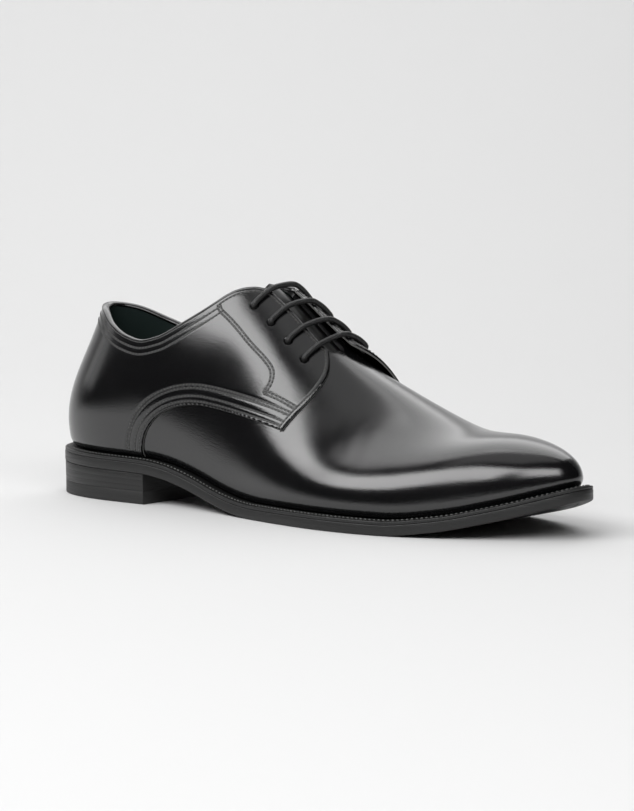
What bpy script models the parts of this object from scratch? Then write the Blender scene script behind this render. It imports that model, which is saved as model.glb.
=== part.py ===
"""Plain-toe derby dress shoe for the right foot, standing empty on its sole.

Sizes are in millimetres: +X runs to the toe, +Y to the medial side and +Z up from the floor.
The last, the form that the shoe is made on, is one function of t (toe tip 0 to heel back 1) and
v (feather edge 0 to top line 1). Upper, quarters, tongue and laces are all read from it.
"""
import bpy
import numpy as np

METRES = 0.001
GAP = 0.3
LATERAL, MEDIAL = -1, 1

# The sole: layers from the floor up, and the outline's ledge beyond the last
OUTSOLE_THICK = 4.8
WELT_THICK = 2.2
EDGE_BEVEL = 0.7
LEDGE_FRONT = 4.4
LEDGE_BACK = 5.2
LEDGE_WAIST_X = -40.0
LEDGE_BLEND = 50.0
WELT_WIDTH = 11.0
WELT_INSET = 0.4
FEATHER = OUTSOLE_THICK + WELT_THICK + 2 * GAP

# The heel: its breast is straight across
BREAST_X = -81.5
TOP_PIECE_THICK = 6.2
HEEL_TAPER = 0.2

# The insole: its rim lies on the welt and its core fills the welt's ring
INSOLE_RIM = 3.0
INSOLE_CLEARANCE = 2.7

# The upper: wall, overlays, throat slot and tongue
WALL = 1.8
OVERLAY_GAP = 0.45
OVERLAY_THICK = 1.4
BACK_SEAM = 0.001
FACING_GAP = {LATERAL: 7.5, MEDIAL: 3.0}
THROAT_GAP = {LATERAL: 8.2, MEDIAL: 3.7}
THROAT_FRONT_X = 9.0
THROAT_BACK_X = -60.0
THROAT_ROUND = 7.0
TONGUE_GAP = 1.0
TONGUE_THICK = 2.0
TONGUE_FRONT_X = 21.0
TONGUE_TOP_X = -33.0
TONGUE_DEPTH = 10.0
TONGUE_FLARE = 8.0

# The lace: four straight bars between the eyelet rows
LACE_DIAMETER = 2.6
LACE_ARCH = 0.8
LACE_GAP = 0.5
EYELETS = np.array([
    # x and distance from the throat's middle: lateral eyelet, medial eyelet
    (-0.3, 17.8, 7.7, 13.5),
    (-9.9, 17.4, -1.9, 13.3),
    (-20.0, 16.8, -12.0, 13.0),
    (-30.4, 15.9, -22.4, 12.6),
])

# Rows from toe to heel: profile of the outsole's underside
SOLE_PROFILE = np.array([
    # x, height
    (150.0, 17.6),
    (138.0, 13.6),
    (120.0, 8.2),
    (95.0, 2.6),
    (70.0, 0.0),
    (-6.0, 0.0),
    (-18.0, 0.8),
    (-29.0, 2.6),
    (-39.0, 5.2),
    (-49.0, 8.3),
    (-59.0, 11.0),
    (-70.0, 13.3),
    (-84.0, 14.7),
    (-120.0, 15.2),
    (-155.0, 16.0),
])

# Rows from toe tip to heel back, one for each section of the last. x, lateral, medial: feather edge.
# lean_lateral, lean_medial, rise: how the wall leaves it. reach, drop: how it turns into the top.
# top_x, top_half, top_z: the top line, open where top_half is over 0. mid: its middle.
# hip_out, hip_up: how the lateral wall falls in half way up.
SECTION_COLUMNS = (
    "x lateral medial lean_lateral lean_medial rise reach drop top_x top_half top_z mid hip_out hip_up".split()
)
SECTIONS = np.array([
    (144.6, -2.8, 2.8, 0.0, 0.0, 0.55, 0.55, 0.00, 144.6, 0.0, 24.8, 2.8, 0.0, 0.00),
    (142.3, 4.4, 9.8, 0.3, 0.3, 0.60, 0.58, 0.00, 142.4, 0.0, 31.8, 2.8, 0.0, 0.00),
    (136.0, 11.8, 17.0, 0.8, 0.8, 0.64, 0.60, 0.00, 136.0, 0.0, 36.8, 2.9, 0.0, 0.00),
    (124.0, 22.0, 26.4, 1.4, 1.4, 0.68, 0.60, 0.00, 124.0, 0.0, 41.0, 3.0, 0.0, 0.00),
    (106.0, 32.8, 36.2, 2.0, 2.0, 0.72, 0.58, 0.00, 106.0, 0.0, 43.6, 3.2, 0.0, 0.00),
    (84.0, 41.6, 43.6, 2.8, 2.2, 0.72, 0.54, 0.00, 84.0, 0.0, 44.4, 3.6, 0.2, -0.08),
    (60.0, 46.8, 46.6, 4.2, 2.2, 0.66, 0.54, 0.00, 60.0, 0.0, 51.6, 4.2, -3.9, -0.31),
    (34.0, 47.0, 42.4, 3.4, 2.8, 0.60, 0.57, 0.00, 33.0, 0.0, 63.6, 4.6, -3.9, -0.45),
    (5.0, 42.4, 33.4, 3.2, 4.0, 0.54, 0.65, 0.00, 3.0, 0.0, 79.8, 4.8, -3.9, -0.26),
    (-22.0, 36.6, 27.4, 2.8, 4.6, 0.48, 0.772, 0.02, -19.0, 0.0, 98.4, 4.6, 0.6, -0.16),
    (-42.0, 33.4, 26.0, 4.0, 5.4, 0.46, 0.77, 0.115, -35.0, 2.9, 109.0, 4.2, -1.0, -0.01),
    (-64.0, 31.2, 26.0, 5.6, 6.2, 0.45, 0.557, 0.258, -54.0, 10.5, 117.0, 3.0, 0.0, 0.00),
    (-92.0, 30.0, 27.6, 7.6, 7.6, 0.42, 0.28, 0.44, -80.0, 20.0, 117.0, 1.2, 0.0, 0.00),
    (-118.0, 28.2, 27.6, 9.6, 9.4, 0.38, 0.24, 0.46, -103.0, 17.5, 114.0, 0.4, 0.0, 0.00),
    (-138.0, 20.0, 20.0, 10.6, 10.6, 0.36, 0.24, 0.46, -119.5, 10.8, 112.0, 0.0, 0.0, 0.00),
    (-146.4, 10.2, 10.2, 10.8, 10.8, 0.36, 0.24, 0.46, -126.6, 5.4, 111.0, 0.0, 0.0, 0.00),
    (-149.0, 0.0, 0.0, 10.8, 10.8, 0.36, 0.24, 0.46, -129.0, 0.0, 111.0, 0.0, 0.0, 0.00),
])

# Rows from the facing's top corner to the heel back: the collar's edge
COLLAR = np.array([
    # x, height
    (-24.0, 101.0),
    (-28.5, 102.4),
    (-32.0, 103.1),
    (-35.5, 103.6),
    (-39.0, 103.3),
    (-43.0, 102.1),
    (-47.0, 99.7),
    (-51.0, 96.6),
    (-57.0, 92.4),
    (-65.0, 87.5),
    (-73.0, 82.6),
    (-79.0, 79.6),
    (-90.0, 77.2),
    (-101.0, 79.0),
    (-113.0, 83.6),
    (-126.0, 90.0),
    (-139.0, 93.4),
])

# Each quarter's lower edge rises from its tip to a crest and falls to its foot at the sole
QUARTER_COLUMNS = "tip_x tip_z crest_x crest_z foot_x".split()
QUARTERS = {
    LATERAL: (3.0, 41.5, -48.5, 49.5, -85.0),
    MEDIAL: (27.0, 43.0, -20.0, 50.5, -62.0),
}
EDGE_BEND = 1.4
FOOT_STEPS = (0.0, 0.6, 2.0, 4.5, 8.0, 13.0)
FOOT_MERGE = 0.001
EDGE_ROUND = 2.2

# Rows from the tip to the throat: how far each quarter's front edge stands before its tip
FRONT_EDGE = np.array([
    # share of the edge's height, lateral, medial
    (0.00, 0.0, 0.0),
    (0.20, 3.6, -0.8),
    (0.40, 7.0, -2.6),
    (0.60, 9.1, -5.6),
    (0.80, 8.8, -10.2),
    (0.94, 5.3, -14.8),
    (1.00, 3.0, -17.5),
])

# The medial facing stands off the tongue and vamp: its height, how slowly that fades behind the front edge and
# ends before the collar, and the shares of the front edge's height where it starts and is full
FLAP_LIFT = 3.6
FLAP_LENGTH = 30.0
FLAP_BACK_X = -44.0
FLAP_FADE = 18.0
FLAP_START = 0.25
FLAP_FULL = 0.90

# How far the wall follows the top line forward before it turns
FORWARD_SHARE = 0.4

# Grey level and roughness of each piece
FINISHES = {
    "outsole": (0.020, 0.45),
    "welt": (0.020, 0.40),
    "heel_block": (0.020, 0.40),
    "heel_top_piece": (0.015, 0.60),
    "insole": (0.030, 0.70),
    "upper": (0.015, 0.22),
    "quarter_lateral": (0.015, 0.22),
    "quarter_medial": (0.015, 0.22),
    "tongue": (0.015, 0.30),
    "lace_bar": (0.010, 0.55),
}

# Mesh density. Rows of the quarters crowd towards the facings, where they bend most
LAST_COLUMNS = 44
LAST_ROWS = 13
QUARTER_ROWS = 11
ROW_CROWDING = 0.75
FRONT_COLUMNS = 5
TONGUE_ROWS = 6
TONGUE_COLUMNS = 10
LACE_POINTS = 6
ROOT_SAMPLES = 160
SLOPE_STEP = 0.0005
SHARP_DEGREES = 40.0


def monotone(knots, values, at):
    """Values between knots in rising or falling order, with no overshoot."""
    order = np.argsort(knots)
    knots, values = np.asarray(knots, float)[order], np.asarray(values, float)[order]
    width = np.diff(knots)
    chord = np.diff(values) / width
    slope = np.concatenate([chord[:1], np.zeros(len(knots) - 2), chord[-1:]])
    for k in range(1, len(knots) - 1):
        if chord[k - 1] * chord[k] > 0:
            slope[k] = 2 * chord[k - 1] * chord[k] / (chord[k - 1] + chord[k])
    at = np.clip(at, knots[0], knots[-1])
    k = np.clip(np.searchsorted(knots, at) - 1, 0, len(width) - 1)
    s = (at - knots[k]) / width[k]
    rise = values[k] * (1 + 2 * s) * (1 - s) ** 2 + values[k + 1] * s * s * (3 - 2 * s)
    return rise + width[k] * (slope[k] * s * (1 - s) ** 2 - slope[k + 1] * s * s * (1 - s))


def ease(share):
    """A soft step from 0 to 1."""
    share = np.clip(share, 0, 1)
    return share**2 * (3 - 2 * share)


def spline(knots, values, at, flat_start, flat_end):
    """A smooth cubic through the knots, level at an end that is flat and free of bend at one that isn't."""
    count = len(knots)
    width = np.diff(knots)
    chord = np.diff(values) / width
    system = np.zeros((count, count))
    right = np.zeros(count)
    for k in range(1, count - 1):
        system[k, k - 1:k + 2] = width[k - 1], 2 * (width[k - 1] + width[k]), width[k]
        right[k] = 6 * (chord[k] - chord[k - 1])
    system[0, 0] = system[-1, -1] = 1.0
    if flat_start:
        system[0, :2] = 2 * width[0], width[0]
        right[0] = 6 * chord[0]
    if flat_end:
        system[-1, -2:] = width[-1], 2 * width[-1]
        right[-1] = -6 * chord[-1]
    bend = np.linalg.solve(system, right)
    k = np.clip(np.searchsorted(knots, at) - 1, 0, count - 2)
    after, before = knots[k + 1] - at, at - knots[k]
    cubic = (bend[k] * after**3 + bend[k + 1] * before**3) / (6 * width[k])
    return (
        cubic
        + (values[k] / width[k] - bend[k] * width[k] / 6) * after
        + (values[k + 1] / width[k] - bend[k + 1] * width[k] / 6) * before
    )


def section_knots():
    """t of each section: its share of the feather edge's length."""
    half = (SECTIONS[:, 1] + SECTIONS[:, 2]) / 2
    steps = np.hypot(np.diff(SECTIONS[:, 0]), np.diff(half))
    along = np.concatenate([[0.0], np.cumsum(steps)])
    return along / along[-1]


KNOTS = section_knots()


def column(name, t):
    """One column of the section table at t."""
    values = SECTIONS[:, SECTION_COLUMNS.index(name)]
    if name == "top_half":
        return monotone(KNOTS, values, t)
    along_axis = name in ("x", "top_x")
    return spline(KNOTS, values, np.asarray(t, float), along_axis, along_axis or name == "top_z")


def sole_height(x):
    """Height of the outsole's underside over the floor."""
    return monotone(SOLE_PROFILE[:, 0], SOLE_PROFILE[:, 1], x)


def feather_plan(t, side):
    """The feather edge in plan and its outward direction."""
    def edge(at):
        name = "lateral" if side == LATERAL else "medial"
        return np.stack([column("x", at), side * column(name, at)], -1)

    run = edge(np.clip(t + SLOPE_STEP, 0, 1)) - edge(np.clip(t - SLOPE_STEP, 0, 1))
    outward = side * np.stack([run[..., 1], -run[..., 0]], -1)
    return edge(t), outward / np.linalg.norm(outward, axis=-1, keepdims=True)


def last_point(t, v, side):
    """A point on the last: a cubic from the feather edge to the top line."""
    t, v = np.broadcast_arrays(np.asarray(t, float), np.asarray(v, float))
    now = {name: column(name, t) for name in SECTION_COLUMNS}
    plan, outward = feather_plan(t, side)
    foot = np.stack([plan[..., 0], plan[..., 1], sole_height(plan[..., 0]) + FEATHER], -1)
    top = np.stack([now["top_x"], now["mid"] + side * now["top_half"], now["top_z"]], -1)
    forward = FORWARD_SHARE * (top[..., 0] - foot[..., 0])
    height = top[..., 2] - foot[..., 2]
    flare = now["lean_lateral"] if side == LATERAL else now["lean_medial"]
    half = (now["lateral"] + now["medial"]) / 2 - now["top_half"]
    wall = foot + np.stack([
        now["rise"] * forward + flare * outward[..., 0],
        flare * outward[..., 1],
        now["rise"] * height,
    ], -1)
    shoulder = top + np.stack([
        -now["drop"] * forward,
        now["reach"] * side * half,
        -now["drop"] * height,
    ], -1)
    v = v[..., None]
    hip = np.stack([
        now["hip_out"] * outward[..., 0],
        now["hip_out"] * outward[..., 1],
        now["hip_up"] * height,
    ], -1)
    cubic = foot * (1 - v) ** 3 + 3 * wall * v * (1 - v) ** 2 + 3 * shoulder * v * v * (1 - v) + top * v**3
    return cubic + (6 * hip * v**2 * (1 - v) ** 2 if side == LATERAL else 0)


def last_normal(t, v, side):
    """Outward direction of the last, level along the feather edge and at the toe's tip."""
    t, v = np.broadcast_arrays(np.asarray(t, float), np.asarray(v, float))
    behind, before = np.clip(t + SLOPE_STEP, 0, 1), np.clip(t - SLOPE_STEP, 0, 1)
    above, below = np.clip(v + SLOPE_STEP, 0, 1), np.clip(v - SLOPE_STEP, 0, 1)
    along = last_point(behind, v, side) - last_point(before, v, side)
    up = last_point(t, above, side) - last_point(t, below, side)
    normal = side * np.cross(along, up)
    normal[v <= 0, 2] = 0.0
    normal[t <= 0] = 1.0, 0.0, 0.0
    return normal / np.linalg.norm(normal, axis=-1, keepdims=True)


def over_last(t, v, side, offset):
    """A point offset outwards from the last."""
    return last_point(t, v, side) + offset * last_normal(t, v, side)


def first_v(t, side, past):
    """The lowest v of each t where past(point) turns positive, or 1."""
    v = np.linspace(0, 1, ROOT_SAMPLES)
    value = past(last_point(np.asarray(t)[:, None], v[None, :], side))
    beyond = value > 0
    k = np.argmax(beyond, axis=1)
    rows = np.arange(len(value))
    below = value[rows, np.maximum(k - 1, 0)]
    share = np.where(k > 0, below / np.where(k > 0, below - value[rows, k], 1), 0)
    found = np.where(k > 0, v[np.maximum(k - 1, 0)] + share * v[1], 0)
    return np.where(beyond.any(axis=1), found, 1.0)


def t_at_top(x):
    """t where the top line passes x."""
    t = np.linspace(0, 1, 4 * ROOT_SAMPLES)
    return np.interp(-np.asarray(x), -column("top_x", t), t)


def middle(x):
    """y of the throat's middle line."""
    t = np.linspace(0, 1, ROOT_SAMPLES)
    return np.interp(-x, -column("top_x", t), column("mid", t))


def top_limit(t, side, half_gap):
    """v where the upper ends: at the collar, or at the throat slot where half_gap(x, side) is over 0."""
    def past_collar(point):
        return point[..., 2] - monotone(COLLAR[:, 0], COLLAR[:, 1], point[..., 0])

    def past_slot(point):
        x = point[..., 0]
        return half_gap(x, side) - side * (point[..., 1] - middle(x))

    return np.minimum(first_v(t, side, past_collar), first_v(t, side, past_slot))


def in_throat(x):
    """True in front of the collar, where the facings stand apart."""
    return x > THROAT_BACK_X


def throat_gap(x, side):
    """Half-width of the slot in the upper, round at its front end."""
    share = np.clip((x - THROAT_FRONT_X + THROAT_ROUND) / THROAT_ROUND, 0, 1)
    return np.where(in_throat(x) & (x < THROAT_FRONT_X), THROAT_GAP[side] * np.sqrt(1 - share**2), -1.0)


def facing_gap(x, side):
    """Distance of a facing's edge from the throat's middle."""
    return np.where(in_throat(x), FACING_GAP[side], -1.0)


def quarter_limit(t, side):
    """v of the quarter's lower edge."""
    size = dict(zip(QUARTER_COLUMNS, QUARTERS[side]))
    climb = size["crest_z"] - size["tip_z"]

    def past_edge(point):
        x = point[..., 0]
        ahead = np.abs(x - size["crest_x"]) / (size["tip_x"] - size["crest_x"])
        behind = np.clip((size["crest_x"] - x) / (size["crest_x"] - size["foot_x"]), 0, 1)
        sill = sole_height(size["foot_x"]) + FEATHER
        fall = size["crest_z"] - sill
        low = sill + fall * (1 - behind**EDGE_ROUND) ** (1 / EDGE_ROUND)
        edge = np.where(x > size["crest_x"], size["crest_z"] - climb * ahead**EDGE_BEND, low)
        return np.where(behind < 1, point[..., 2] - edge, 1.0)

    return first_v(t, side, past_edge)


def clear_scene():
    """Removes what the scene holds."""
    for item in list(bpy.data.objects):
        bpy.data.objects.remove(item, do_unlink=True)


def finish(name):
    """A plain grey material for one piece."""
    grey, roughness = FINISHES[name]
    material = bpy.data.materials.new(name)
    material.use_nodes = True
    shader = material.node_tree.nodes["Principled BSDF"]
    shader.inputs["Base Color"].default_value = (grey, grey, grey, 1.0)
    shader.inputs["Roughness"].default_value = roughness
    return material


def add_piece(name, points, faces):
    """An object from points in millimetres, smooth but for its edges."""
    mesh = bpy.data.meshes.new(name)
    mesh.from_pydata([tuple(point) for point in METRES * (points - sole_centre())], [], faces)
    mesh.validate()
    mesh.shade_smooth()
    mesh.set_sharp_from_angle(angle=np.radians(SHARP_DEGREES))
    mesh.materials.append(finish(name))
    piece = bpy.data.objects.new(name, mesh)
    bpy.context.collection.objects.link(piece)
    return piece


def grid_faces(index):
    """Faces of a grid of point indices, leaving out corners that have been merged."""
    faces = []
    for i in range(index.shape[0] - 1):
        for j in range(index.shape[1] - 1):
            ring = [index[i, j], index[i, j + 1], index[i + 1, j + 1], index[i + 1, j]]
            corners = [corner for k, corner in enumerate(ring) if corner != ring[k - 1]]
            if len(corners) > 2:
                faces.append(corners)
    return faces


def thick_sheet(name, outer, inner):
    """A wall between two grids: points of the outer one that coincide are one, and its open edges get a rim."""
    keys = {}
    flat = outer.reshape(-1, 3)
    index = np.array([keys.setdefault(tuple(np.round(point, 3)), len(keys)) for point in flat])
    first = np.unique(index, return_index=True)[1]
    skin = grid_faces(index.reshape(outer.shape[:2]))
    count = len(keys)
    points = np.concatenate([flat[first], inner.reshape(-1, 3)[first]])
    used = {}
    for face in skin:
        for a, b in zip(face, face[1:] + face[:1]):
            used[(a, b)] = True
    rims = [(b, a, a + count, b + count) for a, b in used if (b, a) not in used]
    lining = [[corner + count for corner in reversed(face)] for face in skin]
    return add_piece(name, points, skin + lining + rims)


def outline(t, inset):
    """A loop round the sole in plan, from the toe along the lateral side and back along the medial."""
    sides = []
    for side in (LATERAL, MEDIAL):
        edge, outward = feather_plan(t, side)
        sides.append(edge - inset[:, None] * outward)
    return np.concatenate([sides[0], sides[1][-2:0 if t[0] == 0 else None:-1]])


def ledge(t):
    """How far the sole stands out beyond the last."""
    blend = np.clip((LEDGE_WAIST_X - column("x", t)) / LEDGE_BLEND, 0, 1)
    return LEDGE_FRONT + (LEDGE_BACK - LEDGE_FRONT) * blend


def sole_centre():
    """The point on the floor under the middle of the outsole's outline."""
    t = np.linspace(0, 1, LAST_COLUMNS + 1)
    edge = outline(t, -ledge(t))
    return np.append((edge.min(axis=0) + edge.max(axis=0)) / 2, 0.0)


def level(plan, height):
    """A loop in plan lifted to a height, which may follow the sole's profile."""
    return np.column_stack([plan, np.broadcast_to(height, len(plan))])


def along_sole(plan, rise):
    """A loop in plan lifted to a distance above the sole's underside."""
    return level(plan, sole_height(plan[:, 0]) + rise)


def loop_faces(count, loops, closed):
    """Walls between stacked loops, the last one joined to the first if closed."""
    faces = []
    for k in range(loops if closed else loops - 1):
        low, high = k * count, (k + 1) % loops * count
        for i in range(count):
            j = (i + 1) % count
            faces.append((low + i, high + i, high + j, low + j))
    return faces


def cap_faces(start, count, pointed, flip):
    """Strips across a loop, between its lateral and medial points, with one or two points at the toe end."""
    pairs = [(i, (count - i) % count if pointed else count - 1 - i) for i in range(count // 2 + 1)]
    faces = []
    for (a, b), (c, d) in zip(pairs, pairs[1:]):
        corners = list(dict.fromkeys([a, c, d, b]))
        if len(corners) > 2:
            face = [start + corner for corner in corners]
            faces.append(face[::-1] if flip else face)
    return faces


def plate(name, loops, pointed):
    """A solid plate from stacked loops, bottom to top."""
    count = len(loops[0])
    faces = loop_faces(count, len(loops), False)
    faces += cap_faces(0, count, pointed, False)
    faces += cap_faces((len(loops) - 1) * count, count, pointed, True)
    return add_piece(name, np.concatenate(loops), faces)


def make_outsole(t):
    edge = outline(t, -ledge(t))
    tread = outline(t, EDGE_BEVEL - ledge(t))
    loops = [
        along_sole(tread, 0.0),
        along_sole(edge, EDGE_BEVEL),
        along_sole(edge, OUTSOLE_THICK),
    ]
    plate("outsole", loops, True)


def make_welt(t):
    edge = outline(t, WELT_INSET - ledge(t))
    shoulder = outline(t, WELT_INSET + EDGE_BEVEL - ledge(t))
    crease = outline(t, np.zeros_like(t))
    hole = outline(t, np.full_like(t, WELT_WIDTH))
    low, high = OUTSOLE_THICK + GAP, OUTSOLE_THICK + GAP + WELT_THICK
    loops = [
        along_sole(hole, low),
        along_sole(edge, low),
        along_sole(edge, high - EDGE_BEVEL),
        along_sole(shoulder, high),
        along_sole(crease, high),
        along_sole(hole, high),
    ]
    faces = loop_faces(len(edge), len(loops), True)
    add_piece("welt", np.concatenate(loops), faces)


def make_insole(t):
    rim = outline(t, np.full_like(t, INSOLE_CLEARANCE))
    core = outline(t, np.full_like(t, WELT_WIDTH + GAP))
    seat = OUTSOLE_THICK + WELT_THICK + 2 * GAP
    loops = [
        along_sole(core, OUTSOLE_THICK + GAP),
        along_sole(core, seat),
        along_sole(rim, seat),
        along_sole(rim, seat + INSOLE_RIM),
    ]
    plate("insole", loops, True)


def make_heel(t):
    """The stacked heel block and the top piece under it, cut straight at the breast."""
    def heel_loop(inset):
        plan = outline(t, inset - ledge(t))
        plan[[0, -1], 0] = BREAST_X
        return plan

    seat, foot = heel_loop(EDGE_BEVEL), heel_loop(HEEL_TAPER + EDGE_BEVEL)
    block = [level(foot, TOP_PIECE_THICK + GAP), along_sole(seat, -GAP)]
    plate("heel_block", block, False)
    tread = heel_loop(HEEL_TAPER + 2 * EDGE_BEVEL)
    piece = [level(tread, 0.0), level(foot, EDGE_BEVEL), level(foot, TOP_PIECE_THICK)]
    plate("heel_top_piece", piece, False)


def make_upper(t):
    """The hollow wall: lateral columns from toe to heel, then medial columns back to the toe."""
    share = np.linspace(0, 1, LAST_ROWS + 1)
    skins, linings = [], []
    for side in (LATERAL, MEDIAL):
        v = top_limit(t, side, throat_gap)[:, None] * share
        skins.append(last_point(t[:, None], v, side))
        linings.append(over_last(t[:, None], v, side, -WALL))
    outer = np.concatenate([skins[0], skins[1][-2::-1]])
    inner = np.concatenate([linings[0], linings[1][-2::-1]])
    thick_sheet("upper", outer, inner)


def front_x(side, share):
    """x, along the top line, of the quarter's front edge at a share of its height."""
    tip_x = QUARTERS[side][QUARTER_COLUMNS.index("tip_x")]
    ahead = FRONT_EDGE[:, 1 if side == LATERAL else 2]
    return tip_x + spline(FRONT_EDGE[:, 0], ahead, share, False, False)


def front_t(side, share):
    """t of the quarter's front edge at a share of its height."""
    return t_at_top(front_x(side, share))


def flap_lift(t, v, side):
    """How far the quarter stands off the vamp at points in flat arrays."""
    if side == LATERAL:
        return np.zeros(len(t))
    low, high = quarter_limit(t, side), top_limit(t, side, facing_gap)
    share = np.clip((v - low) / (high - low), 0, 1)
    rise = ease((share - FLAP_START) / (FLAP_FULL - FLAP_START))
    behind = np.maximum(front_x(side, share) - column("top_x", t), 0)
    before_collar = ease((column("top_x", t) - FLAP_BACK_X) / FLAP_FADE)
    return FLAP_LIFT * rise * before_collar * np.exp(-(behind / FLAP_LENGTH) ** 2)


def make_quarter(name, side, t):
    """An overlay from its front edge to the heel back, on the upper's own columns behind the front ones."""
    share = np.linspace(0, 1, QUARTER_ROWS + 1) ** ROW_CROWDING
    start = front_t(side, share)
    foot_x = QUARTERS[side][QUARTER_COLUMNS.index("foot_x")]
    foot = np.interp(-(foot_x + np.array(FOOT_STEPS)), -column("x", t), t)
    rear = np.sort(np.concatenate([t[np.searchsorted(t, start.max()) + FRONT_COLUMNS // 2:], foot]))
    rear = rear[np.concatenate([np.diff(rear) > FOOT_MERGE, [True]])]
    blend = np.linspace(0, 1, FRONT_COLUMNS + 1)[:-1, None]
    front = start * (1 - blend) + rear[0] * blend
    columns = np.concatenate([front, np.broadcast_to(rear[:, None], (len(rear), len(share)))])
    columns[-1] = 1 - BACK_SEAM
    flat = columns.reshape(-1)
    low = quarter_limit(flat, side).reshape(columns.shape)
    high = top_limit(flat, side, facing_gap).reshape(columns.shape)
    v = low + (high - low) * share
    off = OVERLAY_GAP + flap_lift(flat, v.reshape(-1), side).reshape(v.shape + (1,))
    inner = over_last(columns, v, side, off)
    outer = over_last(columns, v, side, off + OVERLAY_THICK)
    if side == MEDIAL:
        inner, outer = inner[::-1], outer[::-1]
    thick_sheet(name, outer, inner)


def make_tongue():
    """A sheet under the facings, wider at its top."""
    t = np.linspace(t_at_top(TONGUE_FRONT_X), t_at_top(TONGUE_TOP_X), TONGUE_COLUMNS + 1)
    share = np.linspace(0, 1, TONGUE_ROWS + 1)
    depth = TONGUE_DEPTH + np.linspace(0, TONGUE_FLARE, len(t))
    edge_z = (column("top_z", t) - depth)[:, None]

    def past_edge(point):
        return point[..., 2] - edge_z

    skins, linings = [], []
    for side in (LATERAL, MEDIAL):
        low = first_v(t, side, past_edge)[:, None]
        v = low + (1 - low) * share
        skins.append(over_last(t[:, None], v, side, -WALL - TONGUE_GAP))
        linings.append(over_last(t[:, None], v, side, -WALL - TONGUE_GAP - TONGUE_THICK))
    outer = np.concatenate([skins[0], skins[1][:, -2::-1]], axis=1)
    inner = np.concatenate([linings[0], linings[1][:, -2::-1]], axis=1)
    thick_sheet("tongue", outer, inner)


def lace_route(eyelets):
    """Points of one bar, from the lateral eyelet straight over the throat to the medial one."""
    ends = {LATERAL: eyelets[:2], MEDIAL: eyelets[2:]}
    lift = OVERLAY_GAP + OVERLAY_THICK + LACE_DIAMETER / 2 + LACE_GAP
    runs = []
    for side in (LATERAL, MEDIAL):
        (x, half_gap), (far_x, far_gap) = ends[side], ends[-side]
        away = np.linspace(half_gap, FACING_GAP[side], LACE_POINTS)
        t = t_at_top(x + (far_x - x) * (half_gap - away) / (half_gap + far_gap))

        def past_row(point):
            return away[:, None] - side * (point[..., 1] - middle(point[..., 0]))

        v = first_v(t, side, past_row)
        runs.append(over_last(t, v, side, lift + flap_lift(t, v, side)[:, None]))
    crest = (runs[0][-1:] + runs[1][-1:]) / 2 + (0.0, 0.0, LACE_ARCH)
    return np.concatenate([runs[0], crest, runs[1][::-1]])


def make_lace_bar(number, eyelets, material):
    """One bar of the lace, a round tube with closed ends."""
    points = METRES * (lace_route(eyelets) - sole_centre())
    curve = bpy.data.curves.new(f"lace_bar_{number}", "CURVE")
    curve.dimensions = "3D"
    curve.bevel_depth = METRES * LACE_DIAMETER / 2
    curve.bevel_resolution = 2
    curve.use_fill_caps = True
    line = curve.splines.new("POLY")
    line.points.add(len(points) - 1)
    for place, point in zip(line.points, points):
        place.co = (*point, 1.0)
    curve.materials.append(material)
    bar = bpy.data.objects.new(f"lace_bar_{number}", curve)
    bpy.context.collection.objects.link(bar)


def build_shoe():
    clear_scene()
    t = np.linspace(0, 1, LAST_COLUMNS + 1)
    make_outsole(t)
    make_welt(t)
    make_insole(t)
    breast = np.interp(-BREAST_X, -column("x", t), t)
    make_heel(np.concatenate([[breast], t[t > breast + SLOPE_STEP]]))
    make_upper(t)
    make_quarter("quarter_lateral", LATERAL, t)
    make_quarter("quarter_medial", MEDIAL, t)
    make_tongue()
    lace = finish("lace_bar")
    for number, eyelets in enumerate(EYELETS, start=1):
        make_lace_bar(number, eyelets, lace)


build_shoe()
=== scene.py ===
"""Looks of a plain-toe derby dress shoe for the right foot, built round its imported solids.

Sizes are in millimetres in the last's own frame: +X runs to the toe, +Y to the medial side, +Z up.
The last is one function of t (toe tip 0 to heel back 1) and v (feather edge 0 to top line 1), as in
the part's source. add_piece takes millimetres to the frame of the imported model.
"""

import bpy
import numpy as np
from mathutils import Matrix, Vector
from mathutils.kdtree import KDTree


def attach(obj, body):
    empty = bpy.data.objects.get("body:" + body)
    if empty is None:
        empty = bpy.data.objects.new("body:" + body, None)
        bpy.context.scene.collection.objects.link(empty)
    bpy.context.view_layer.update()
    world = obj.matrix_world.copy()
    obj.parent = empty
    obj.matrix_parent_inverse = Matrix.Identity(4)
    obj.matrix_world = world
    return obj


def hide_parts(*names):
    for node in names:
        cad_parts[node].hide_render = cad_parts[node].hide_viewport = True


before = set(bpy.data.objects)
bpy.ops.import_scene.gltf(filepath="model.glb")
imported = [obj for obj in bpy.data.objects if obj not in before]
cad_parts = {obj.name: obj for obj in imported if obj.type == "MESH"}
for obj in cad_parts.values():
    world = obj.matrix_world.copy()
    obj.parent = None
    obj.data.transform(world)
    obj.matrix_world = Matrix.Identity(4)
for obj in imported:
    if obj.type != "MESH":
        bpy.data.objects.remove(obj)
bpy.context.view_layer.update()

METRES = 0.001
LATERAL, MEDIAL = SIDES = -1, 1

# Clearance between neighbouring solids
GAP = 0.3

# The sole: layers from the floor up, and the outline's ledge beyond the last
OUTSOLE_THICK = 4.8
WELT_THICK = 2.2
EDGE_BEVEL = 0.7
LEDGE_FRONT = 4.4
LEDGE_BACK = 5.2
LEDGE_WAIST_X = -40.0
LEDGE_BLEND = 50.0
WELT_WIDTH = 11.0
FEATHER = OUTSOLE_THICK + WELT_THICK + 2 * GAP

# The heel: its breast is straight across
BREAST_X = -81.5
TOP_PIECE_THICK = 6.2
HEEL_TAPER = 0.2
HEEL_INSET = 0.2

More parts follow.
